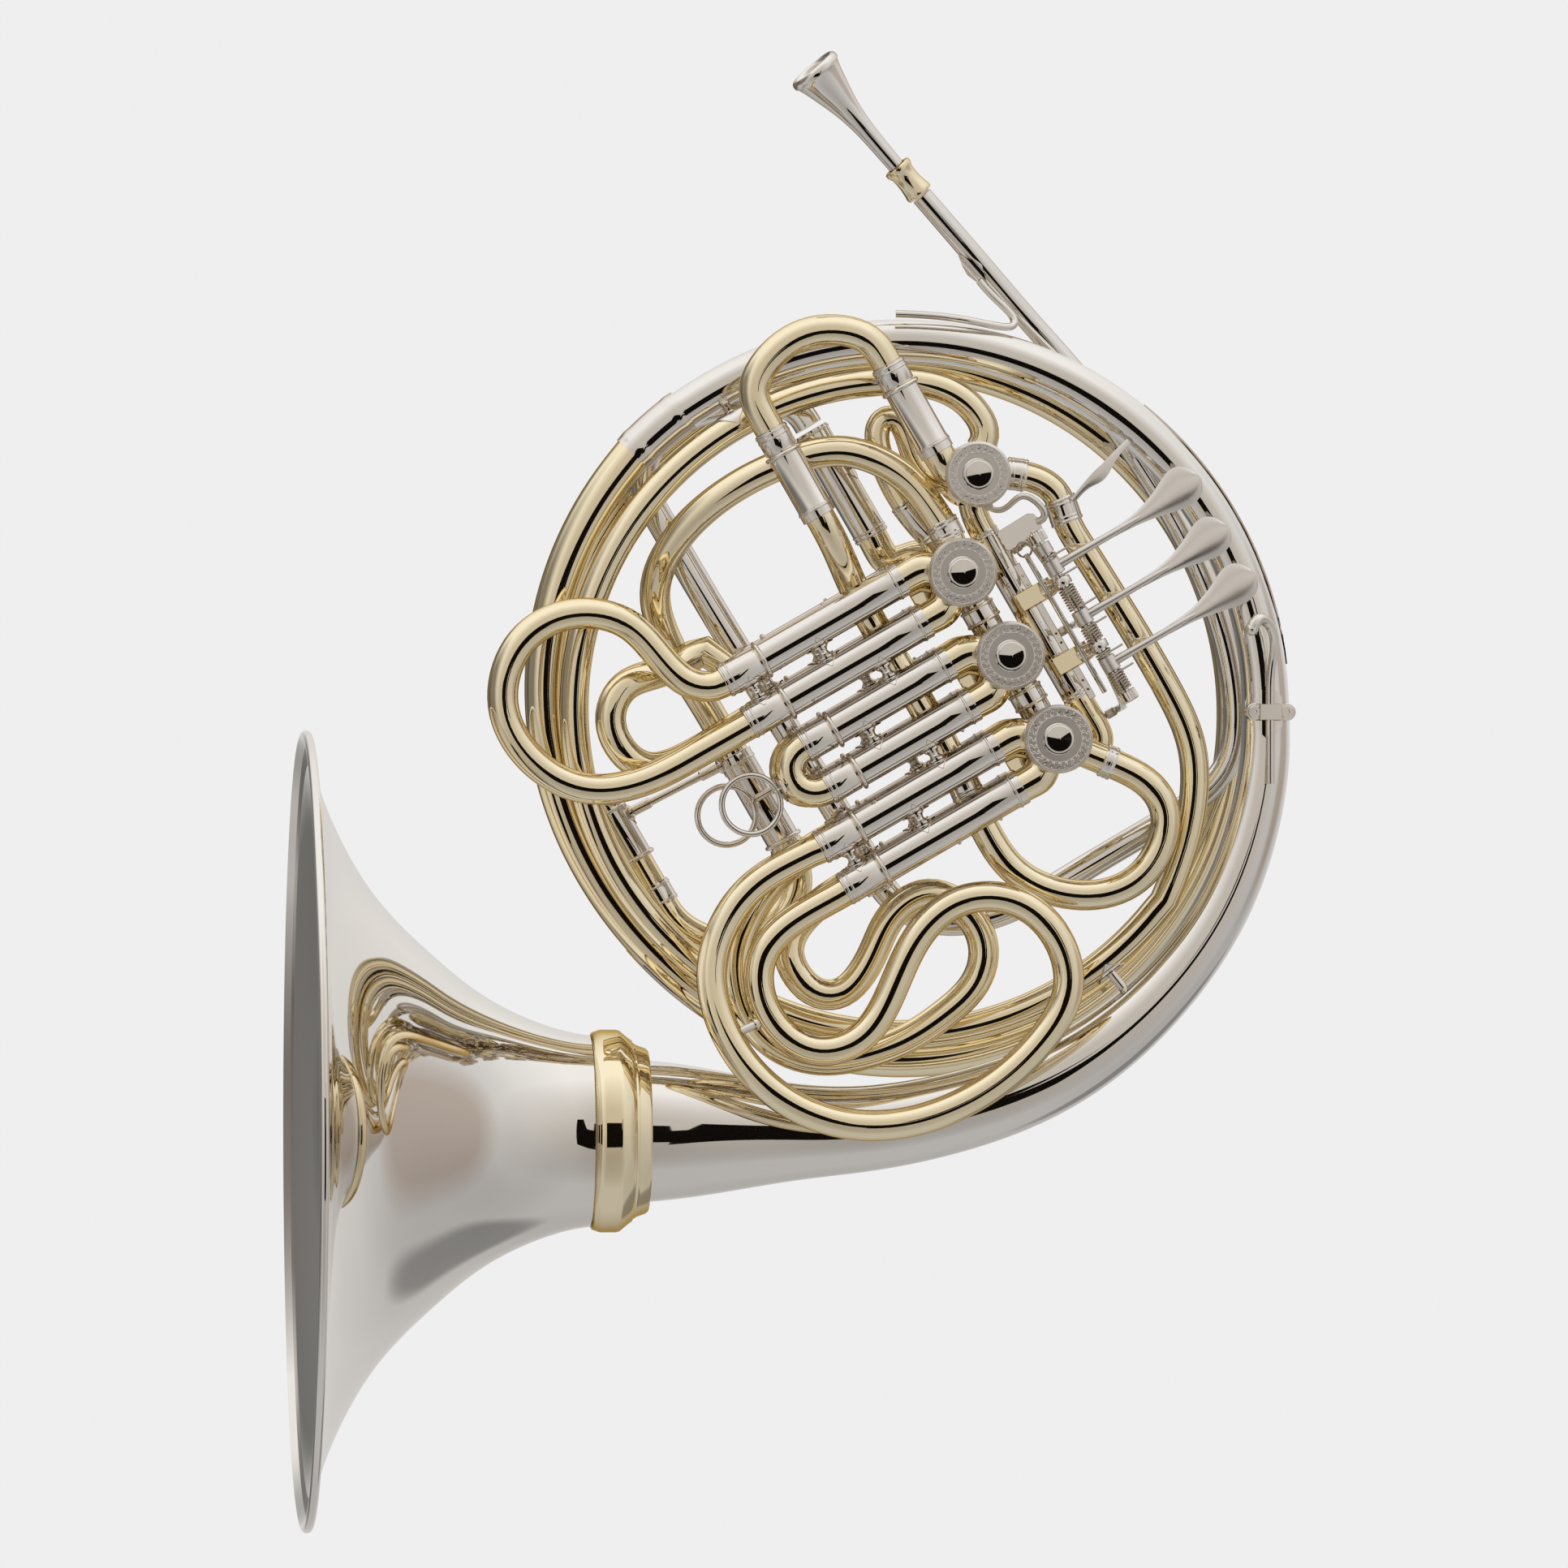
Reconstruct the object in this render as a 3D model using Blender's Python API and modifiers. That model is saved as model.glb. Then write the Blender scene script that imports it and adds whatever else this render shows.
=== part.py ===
"""A double french horn with rotary valves, standing on the rim of its bell.

The tubing is drawn in the horn's own frame, in millimetres, with its origin at the centre of the
coils: u runs away from the bell's mouth, v runs towards the mouthpiece, and w rises towards the
side that carries the valve caps. An empty turns that frame so that u is up.
"""

import math

import bmesh
import bpy
from mathutils import Matrix, Vector

MM = 0.001
GAP = 0.3  # between pieces that touch

# Where the coils' centre stands when the horn rests on its bell
COIL_HEIGHT = 233.4
COIL_OFFSET = -32.2

# Bell
BELL_AXIS_V = -164.3
RIM_U = -COIL_HEIGHT
RIM_RADIUS = 155.5
BELL_WALL = 1.2
BELL_STEPS = 32

# Tubing radii
SLIDE_TUBE = 6.0
SLEEVE = 7.1
BORE = 6.35
BEAD = 7.9
CROOK = 5.9

# Valves: V1, V2 and V3 in a row, and the change valve above them
PITCH = 37.2
ROW = Vector((0.5, -0.866, 0.0))
PULL = Vector((-0.866, -0.5, 0.0))
REACH = Vector((0.866, 0.5, 0.0))
UP = Vector((0.0, 0.0, 1.0))
SECOND_VALVE = Vector((39.5, 20.0, 0.0))
CHANGE_VALVE = Vector((27.4, 90.3, 0.0))
CASING = 11.5
CASING_BORE = 9.6
ROTOR = 9.3
CAP = 13.4
CASING_LOW = -22.0
CASING_HIGH = 34.0
CHANGE_HIGH = 28.0

# Slide levels: the F side lies above the B flat side
F_LEVEL = 24.0
B_FLAT_LEVEL = -4.0
HALF_GAUGE = 9.3  # half the distance between a slide's two legs
BOW_START = 87.0  # where the second valve's slides begin to bend
RING_STUB = 8.5  # the post on the lower one that carries its ring

# Levers
AXLE_LEVEL = 20.0
AXLE_START = Vector((52.5, 63.7, AXLE_LEVEL))
AXLE_LENGTH = 66.8
AXLE = 1.7
HUB_BORE = 2.0
HUB = 3.4
HUB_LENGTH = 6.5
HUBS = (10.6, 33.0, 53.9)  # the levers' places along the axle
LINKS = (-1.4, 35.8, 73.0)  # the link rods' places along the axle
BRACKETS = (17.2, 45.8)
LINK_LEVEL = -30.0

METALS = {
    "nickel_silver": ((0.74, 0.72, 0.70), 0.12),
    "lacquered_brass": ((0.83, 0.74, 0.48), 0.14),
    "satin_nickel": ((0.68, 0.65, 0.62), 0.38),
    "silver_plate": ((0.80, 0.79, 0.78), 0.10),
    "steel": ((0.55, 0.55, 0.56), 0.25),
}


# ---------------------------------------------------------------- scene and helpers

for old in list(bpy.data.objects):
    bpy.data.objects.remove(old, do_unlink=True)

parts = bpy.data.collections.new("french_horn")
tools = bpy.data.collections.new("cutters")
for collection in (parts, tools):
    bpy.context.scene.collection.children.link(collection)

horn = bpy.data.objects.new("horn_frame", None)
parts.objects.link(horn)
horn.matrix_world = Matrix.Translation((COIL_OFFSET * MM, 0, COIL_HEIGHT * MM)) @ Matrix(
    ((0, -1, 0, 0), (0, 0, -1, 0), (1, 0, 0, 0), (0, 0, 0, 1))
)


def metal(name):
    """The Principled material for one finish."""
    found = bpy.data.materials.get(name)
    if found:
        return found
    colour, roughness = METALS[name]
    made = bpy.data.materials.new(name)
    made.use_nodes = True
    shader = made.node_tree.nodes["Principled BSDF"]
    shader.inputs["Base Color"].default_value = (*colour, 1)
    shader.inputs["Metallic"].default_value = 1.0
    shader.inputs["Roughness"].default_value = roughness
    return made


def add(name, data, finish, pivot=(0, 0, 0), axis=None, tool=False):
    """An object in the horn's frame, its own Z turned to the axis where one is given."""
    made = bpy.data.objects.new(name, data)
    (tools if tool else parts).objects.link(made)
    made.parent = horn
    made.location = Vector(pivot) * MM
    if axis is not None:
        made.rotation_mode = "QUATERNION"
        made.rotation_quaternion = Vector(axis).to_track_quat("Z", "Y")
    if not data.materials:
        data.materials.append(metal(finish))
    if tool:
        made.hide_render = True
        made.display_type = "WIRE"
    bpy.context.view_layer.update()
    return made


def spline(control, spacing):
    """Points about one spacing apart on the clamped cubic B-spline through its control points' hull."""
    control = [Vector(point) for point in control]
    spans = len(control) - 3
    knots = [0] * 3 + list(range(spans + 1)) + [spans] * 3

    def at(t):
        first = min(int(t), spans - 1)
        near = [control[first + j] for j in range(4)]
        for level in range(1, 4):
            for j in range(3, level - 1, -1):
                low = knots[first + j]
                high = knots[first + j + 4 - level]
                near[j] = near[j - 1].lerp(near[j], (t - low) / (high - low))
        return near[3]

    hull = sum((a - b).length for a, b in zip(control, control[1:]))
    steps = max(2, round(hull / spacing))
    return [at(spans * k / steps) for k in range(steps + 1)]


def arc(stations, spacing):
    """A coil round the origin: stations are (degrees, radius, w), smoothly joined."""
    route = []
    for degrees, radius, w in spline(stations, spacing):
        turn = math.radians(degrees)
        route.append(Vector((radius * math.cos(turn), radius * math.sin(turn), w)))
    return route


def chain(*routes):
    """Routes joined end to end, without the points that two of them share."""
    joined = []
    for route in routes:
        for spot in route:
            if not joined or (Vector(spot[:3]) - Vector(joined[-1][:3])).length > 2.0:
                joined.append(spot)
    return joined


def sized(route, radius, end_radius=None):
    """The route with a tube radius at each point, even or tapering."""
    end_radius = radius if end_radius is None else end_radius
    last = max(1, len(route) - 1)
    return [(*spot[:3], radius + (end_radius - radius) * k / last) for k, spot in enumerate(route)]


def straight(start, direction, stations):
    """A straight run: stations are (distance from start, radius)."""
    return [(*(start + direction * along), radius) for along, radius in stations]


def pipe(name, route, finish, sides=8, pivot=(0, 0, 0), tool=False):
    """A round bar along a route of (u, v, w, radius)."""
    curve = bpy.data.curves.new(name, "CURVE")
    curve.dimensions = "3D"
    run = curve.splines.new("POLY")
    run.points.add(len(route) - 1)
    for point, (u, v, w, radius) in zip(run.points, route):
        point.co = (*((Vector((u, v, w)) - Vector(pivot)) * MM), 1)
        point.radius = radius
    curve.bevel_depth = MM
    curve.bevel_resolution = (sides - 4) // 2
    curve.use_fill_caps = True
    return add(name, curve, finish, pivot, tool=tool)


def turned(name, profile, finish, at=(0, 0, 0), axis=(0, 0, 1), steps=16, tool=False):
    """A turned piece: its profile of (radius, height) runs down the outside, top to bottom."""
    mesh = bpy.data.meshes.new(name)
    shape = bmesh.new()
    spots = [shape.verts.new((radius * MM, 0, height * MM)) for radius, height in profile]
    for here, there in zip(spots, spots[1:]):
        shape.edges.new((here, there))
    if profile[0][0] > 0:
        shape.edges.new((spots[-1], spots[0]))
    shape.to_mesh(mesh)
    shape.free()
    made = add(name, mesh, finish, at, axis, tool)
    screw = made.modifiers.new("turn", "SCREW")
    screw.steps = steps
    screw.render_steps = steps
    screw.use_merge_vertices = True
    screw.merge_threshold = 1e-6
    screw.use_smooth_shade = True
    return made


def rod(name, radius, length, finish, at, axis, steps=12, tool=False):
    """A plain cylinder standing on a point, along an axis."""
    profile = ((0, length), (radius, length), (radius, 0), (0, 0))
    return turned(name, profile, finish, at, axis, steps, tool)


def plate(name, outline, thickness, finish, at, x_axis, z_axis, tool=False):
    """A flat piece: an outline in the plane across z_axis, extruded to both sides of it."""
    curve = bpy.data.curves.new(name, "CURVE")
    curve.dimensions = "2D"
    edge = curve.splines.new("POLY")
    edge.points.add(len(outline) - 1)
    for point, (x, y) in zip(edge.points, outline):
        point.co = (x * MM, y * MM, 0, 1)
    edge.use_cyclic_u = True
    curve.fill_mode = "BOTH"
    curve.extrude = thickness / 2 * MM
    made = add(name, curve, finish, at, tool=tool)
    z_axis = Vector(z_axis)
    x_axis = Vector(x_axis)
    turn = Matrix((x_axis, z_axis.cross(x_axis), z_axis)).transposed()
    made.rotation_mode = "QUATERNION"
    made.rotation_quaternion = turn.to_quaternion()
    bpy.context.view_layer.update()
    return made


def as_mesh(piece):
    """The same piece with its evaluated shape as a plain mesh, its caps welded on."""
    graph = bpy.context.evaluated_depsgraph_get()
    mesh = bpy.data.meshes.new_from_object(piece.evaluated_get(graph))
    shape = bmesh.new()
    shape.from_mesh(mesh)
    bmesh.ops.remove_doubles(shape, verts=shape.verts, dist=1e-6)
    bmesh.ops.recalc_face_normals(shape, faces=shape.faces)
    shape.to_mesh(mesh)
    shape.free()
    name = piece.name
    made = bpy.data.objects.new(name + "_mesh", mesh)
    for collection in piece.users_collection:
        collection.objects.link(made)
    made.parent = horn
    made.matrix_world = piece.matrix_world
    made.hide_render = piece.hide_render
    made.display_type = piece.display_type
    bpy.data.objects.remove(piece, do_unlink=True)
    made.name = name
    bpy.context.view_layer.update()
    return made


def combine(base, others, operation):
    """Boolean modifiers on the base, one for each of the other pieces, which become guides."""
    if base.type == "CURVE":
        base = as_mesh(base)
    for other in others:
        if other.type == "CURVE":
            other = as_mesh(other)
        change = base.modifiers.new(operation.lower(), "BOOLEAN")
        change.operation = operation
        change.object = other
    return base


def join(base, *others):
    return combine(base, others, "UNION")


def cut(base, *others):
    return combine(base, others, "DIFFERENCE")


# ---------------------------------------------------------------- bell and tail

def bell():
    """The flare, which unscrews, its threaded ring, and the collar and tail that it screws on to."""
    centre = Vector((RIM_U, BELL_AXIS_V, 0))
    along = Vector((1, 0, 0))
    # Outer radius against distance from the rim
    line = spline(
        (
            (37.2, 112.0, 0), (38.0, 104.0, 0), (43.0, 88.0, 0), (53.5, 68.0, 0), (69.0, 50.0, 0),
            (90.0, 27.5, 0), (120.0, 11.0, 0), (140.0, 4.0, 0), (152.0, 3.0, 0),
        ),
        17.0,
    )
    outer = [(spot.x, spot.y) for spot in line]
    inner = [(radius - BELL_WALL, height - BELL_WALL * 0.4) for radius, height in outer]
    inner[0] = (inner[0][0], outer[0][1])
    rim = [(RIM_RADIUS - 1.2, 3.6), (RIM_RADIUS, 1.9), (RIM_RADIUS - 1.2, 0), (RIM_RADIUS - 4.4, 0)]
    turned("bell_flare", outer + rim + inner[::-1], "nickel_silver", centre, along, BELL_STEPS)

    ring_profile = [
        (35.0, 128.4), (39.2, 126.0), (39.4, 114.0), (38.6, 112.0 + GAP), (34.6, 112.0 + GAP),
        (34.6, 120.0), (35.0, 121.0),
    ]
    turned("bell_screw_ring", ring_profile, "lacquered_brass", centre, along, 24)
    collar_profile = [
        (30.9, 134.5), (33.6, 129.2), (34.2, 128.6), (34.2, 114.5), (29.0, 114.5), (29.0, 134.5),
    ]
    turned("bell_collar", collar_profile, "lacquered_brass", centre, along, 24)


def tail():
    """The bell's tail: (u, v, w, radius), wide at the bell and narrowing round the outside."""
    start = RIM_U + 114.8
    throat = spline(
        (
            (start, BELL_AXIS_V, 0, 28.6), (-100.0, BELL_AXIS_V, 0, 28.2), (-75.0, -164.8, 0, 25.0),
            (-40.0, -165.0, 0, 17.8), (-5.0, -164.0, 0, 16.2), (42.5, -152.5, -1.0, 15.3),
            (76.0, -135.5, -1.5, 13.6), (104.0, -111.0, -2.5, 11.8), (126.5, -80.5, -3.5, 10.9),
            (139.5, -46.0, -4.0, 10.2), (143.3, -21.0, -4.6, 9.7), (143.3, -9.0, -5.0, 9.5),
        ),
        23.0,
    )
    round_top = arc(
        ((0, 143.3, -5), (30, 143.3, -5.5), (60, 143.3, -6.5), (97, 143.3, -7.5), (127, 143.3, -9)),
        11.0,
    )
    bow = sized(round_top, 9.2, 7.8)
    pipe("bell_tail", chain([tuple(spot) for spot in throat], bow), "nickel_silver", 12)


# ---------------------------------------------------------------- coils

def coils():
    """The brass coils that follow the tail round the body."""
    joint = arc(((128.1, 143.3, -9), (129.5, 143.3, -9.2), (133, 143.3, -9.4), (134.5, 143.3, -9.5)), 3.0)
    steps = ((0.0, 9.0), (0.2, 8.3), (0.8, 8.3), (1.0, 9.0))
    ends = (joint[0], joint[-1])
    ferrule = [(*ends[0].lerp(ends[1], share), radius) for share, radius in steps]
    pipe("tail_ferrule", ferrule, "nickel_silver")

    sweep = arc(
        (
            (135.9, 143.2, -9.6), (150, 142.0, -10), (180, 138.5, -12), (215, 133.0, -19), (245, 135.5, -24),
            (290, 139.0, -29), (330, 136.0, -34), (370, 133.5, -36), (410, 135.0, -37), (450, 135.5, -38),
            (490, 134.0, -38), (520, 133.5, -37), (545, 132.0, -36.8), (554, 128.0, -36.5),
            (557.8, 123.6, -36.5),
        ),
        15.0,
    )
    pipe("outer_coil", sized(sweep, 7.8, 5.8), "lacquered_brass")

    way_in = spline(
        (
            (38.2, 91.6, -2), (46.0, 91.0, -2), (54.5, 89.5, -2), (62.5, 83.0, -2), (64.5, 72.0, -2),
            (72.0, 61.0, -2), (83.0, 43.5, -2), (94.5, 25.0, -2), (105.5, 6.0, -2), (114.0, -11.0, -2),
            (116.5, -32.0, -2), (111.0, -57.0, -2), (103.0, -75.0, -2),
        ),
        14.0,
    )
    loop = arc(
        (
            (-36, 127.2, -2), (-50, 127.2, -5), (-70, 127.2, -9.5), (-100, 127.2, -10.5), (-125, 127.2, -10.5),
            (-142, 127.2, -8.5), (-158, 127.2, -4), (-175, 127.2, -2), (-215, 127.2, -2), (-250, 127.2, -2),
            (-263, 127.2, -2),
        ),
        11.5,
    )
    way_out = spline(
        (
            (-8.0, 127.0, -2), (5.5, 127.5, -2), (19.5, 124.5, -2), (30.5, 115.5, -2), (34.5, 106.0, -2),
            (31.2, 101.2, -2),
        ),
        9.0,
    )
    coil = pipe("f_coil", sized(chain(way_in, loop, way_out), 5.7), "lacquered_brass")
    cut(coil, *clearance("change"))


def leadpipe():
    """The tapered pipe from the mouthpiece, its receiver and brace, and the bow to the slide."""
    route = spline(
        (
            (9.0, 199.5, -10), (17.5, 190.0, -11.2), (34.0, 171.5, -14.5), (53.0, 150.0, -21.5),
            (75.0, 126.5, -23.0), (93.5, 100.0, -22.5), (111.0, 72.5, -21), (125.0, 42.0, -20),
            (133.5, 11.5, -20), (134.5, -25.0, -20), (105.0, -44.5, -20), (76.5, -60.5, -20),
            (49.5, -78.0, -20), (18.0, -87.5, -20), (-1.5, -77.5, -20), (-8.0, -65.5, -20),
        ),
        17.0,
    )
    pipe("leadpipe", sized(route, 4.2, 5.5), "silver_plate")

    rise = spline(
        (
            (-9.4, -63.3, -20), (-13.0, -57.0, -20), (-40.0, -13.0, -20), (-70.0, 34.5, -20), (-92.5, 73.5, -21),
            (-98.0, 83.0, -23), (-100.0, 95.0, -24), (-92.0, 108.5, -24), (-76.0, 116.5, -24),
            (-60.0, 119.5, -23), (-47.0, 118.5, -18), (-39.0, 117.5, -14.5), (-34.8, 109.7, -14),
        ),
        17.0,
    )
    pipe("leadpipe_bow", sized(rise, 5.6), "silver_plate")

    blow = Vector((0.655, -0.749, -0.10)).normalized()
    mouth = Vector((-1.0, 210.9, -8.6))
    receiver = straight(mouth, blow, ((0, 5.6), (2.0, 5.6), (2.4, 4.7), (9.0, 4.9), (14.3, 5.2)))
    socket = straight(mouth, blow, ((-1, 3.75), (24, 3.4)))
    made = pipe("mouthpiece_receiver", receiver, "lacquered_brass", 12)
    cut(made, pipe("receiver_bore", socket, "lacquered_brass", 12, tool=True))
    mouthpiece(mouth, blow)

    foot = spline(
        (
            (31.5, 166.5, -9.5), (36.0, 160.5, -9.0), (45.5, 153.5, -9), (46.0, 146.5, -6), (27.0, 151.0, 0.5),
            (11.0, 152.9, 0.8), (-2.0, 153.2, 0.5),
        ),
        6.0,
    )
    pipe("leadpipe_brace", sized(foot, 1.5), "nickel_silver")


def mouthpiece(mouth, blow):
    """The mouthpiece: rim, cup, backbore and the shank that plugs into the receiver."""
    shank = 13.0
    length = 60.0
    outline = (
        (9.4, length), (10.6, length - 0.8), (10.7, length - 2.6), (9.6, length - 4.4), (8.2, length - 9.0),
        (6.6, length - 16.0), (4.9, length - 25.0), (3.9, length - 34.0), (3.3, shank), (3.1, 0.5),
        (2.1, 0.5), (1.6, 18.0), (1.5, 32.0), (3.0, length - 20.0), (6.0, length - 9.0), (8.4, length - 1.2),
    )
    turned("mouthpiece", outline, "silver_plate", mouth + blow * 9.0, -blow, 12)


# ---------------------------------------------------------------- valves

def valve_centre(number):
    """A valve's axis in the plane of the coils."""
    if number == "change":
        return CHANGE_VALVE
    return SECOND_VALVE + ROW * PITCH * (number - 2)


def clearance(*numbers):
    """Guides that trim a tube where it meets the outside of a valve casing."""
    found = []
    for number in numbers:
        name = f"valve_{number}_clearance"
        guide = bpy.data.objects.get(name)
        if guide is None:
            base = valve_centre(number) + UP * (CASING_LOW - 20)
            guide = rod(name, CASING + GAP, 90.0, "steel", base, UP, 24, tool=True)
        found.append(guide)
    return found


def valves():
    """Each valve: a casing closed at the back, the rotor inside it and the cap that screws on."""
    for number in (1, 2, 3, "change"):
        name = f"valve_{number}" if number != "change" else "change_valve"
        centre = valve_centre(number)
        high = CHANGE_HIGH if number == "change" else CASING_HIGH
        casing_profile = (
            (CASING, high), (CASING, CASING_LOW), (2.6, CASING_LOW), (2.6, CASING_LOW + 2.5),
            (CASING_BORE, CASING_LOW + 2.5), (CASING_BORE, high),
        )
        casing = turned(name + "_casing", casing_profile, "lacquered_brass", centre, UP, 20)
        if number in (1, 2):
            foot = centre + ROW * (CASING - 0.6) + UP * 10
            link = rod(f"link_{number}", 6.4, PITCH - CASING * 2, "nickel_silver", foot, ROW, tool=True)
            join(casing, link)
        size = CAP if number != "change" else CAP - 0.6
        cap_profile = (
            (0, high + 5.6), (1.0, high + 5.5), (5.4, high + 4.1), (6.0, high + 3.4),
            (size - 0.7, high + 3.2), (size, high + 2.4), (size, high - 2.2),
            (CASING + GAP, high - 2.2), (CASING + GAP, high + GAP), (0, high + GAP),
        )
        turned(name + "_cap", cap_profile, "satin_nickel", centre, UP, 16)
        rotor(name + "_rotor", centre, high, number)


def rotor(name, centre, high, number):
    """The rotor: a plug with two passages on each level, its spindle and its stop arm."""
    low = CASING_LOW + 2.5 + GAP
    profile = (
        (0, high - 0.6), (2.6, high - 0.6), (2.6, high - 2.0), (ROTOR, high - 2.4), (ROTOR, low),
        (2.2, low), (2.2, low - 8.2), (0, low - 8.2),
    )
    plug = turned(name, profile, "steel", centre, UP, 16)
    levels = (F_LEVEL, B_FLAT_LEVEL) if number != "change" else (18.0, B_FLAT_LEVEL)
    passages = []
    for level in levels:
        for side in (-1, 1):
            start = centre + ROW * side * 10.4 + UP * level - PULL * 20
            label = f"{name}_passage_{len(passages)}"
            passages.append(rod(label, 5.2, 40.0, "steel", start, PULL, 8, tool=True))
    arm_level = low - 6.6
    turn = REACH if number != "change" else ROW
    outline = (
        (-3.4, -2.6), (3.0, -3.2), (11.4, -2.0), (12.4, 0), (11.4, 2.0), (3.0, 3.2), (-3.4, 2.6),
    )
    arm = plate(f"{name}_stop_arm", outline, 2.6, "steel", centre + UP * arm_level, turn, UP, tool=True)
    cut(plug, *passages)
    join(plug, arm)


# ---------------------------------------------------------------- valve slides

def leg(number, side, level):
    """The point on a valve slide's leg abreast of the valve, the slide's pull being along PULL."""
    return valve_centre(number) + ROW * side * HALF_GAUGE + UP * level


def sleeves(name, number, level, mouth, brace):
    """A pair of fixed sleeves with their knuckles and brace, bored for the slide's legs."""
    tubes = []
    bores = []
    profile = (
        (mouth, BEAD), (mouth - 1.2, BEAD), (mouth - 1.5, SLEEVE), (21.0, SLEEVE),
        (20.7, SLIDE_TUBE), (16.0, SLIDE_TUBE),
    )
    for side in (-1, 1):
        start = leg(number, side, level)
        body = straight(start, PULL, profile)
        knuckle = valve_centre(number) + ROW * side * 5.0 + PULL * 6.5 + UP * level
        body.append((*knuckle, SLIDE_TUBE))
        label = "upper" if side < 0 else "lower"
        tubes.append(pipe(name if side < 0 else f"{name}_{label}", body, "nickel_silver", tool=side > 0))
        hole = straight(start, PULL, ((22.5, BORE), (mouth + 3, BORE)))
        bores.append(pipe(f"{name}_{label}_bore", hole, "nickel_silver", 12, tool=True))
    foot = leg(number, -1, level) + PULL * brace
    post = rod(name + "_post", 2.0, HALF_GAUGE * 2, "nickel_silver", foot, ROW, 6, tool=True)
    pair = join(tubes[0], tubes[1], post)
    cut(pair, *bores, *clearance(number))


def slide(name, number, level, mouth, ferrule, crook):
    """A slide: two legs, their ferrules, and the crook between them."""
    stop = mouth + GAP
    stations = (
        (24.0, SLIDE_TUBE), (stop, SLIDE_TUBE), (stop + 0.2, SLEEVE), (ferrule - 0.2, SLEEVE),
        (ferrule, CROOK),
    )
    upper = straight(leg(number, -1, level), PULL, stations)
    lower = straight(leg(number, 1, level), PULL, stations)
    return pipe(name, upper + sized(crook, CROOK) + lower[::-1], "lacquered_brass")


def half_turn(number, level, start):
    """A plain U bend between a valve slide's legs."""
    middle = valve_centre(number) + PULL * start + UP * level
    turns = [math.radians(-90 + 180 * k / 8) for k in range(1, 8)]
    return [middle + ROW * HALF_GAUGE * math.sin(turn) + PULL * HALF_GAUGE * math.cos(turn) for turn in turns]


def bow_end(level):
    """The far end of the second valve's slide."""
    return valve_centre(2) + PULL * (BOW_START + HALF_GAUGE + CROOK) + UP * level


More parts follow.
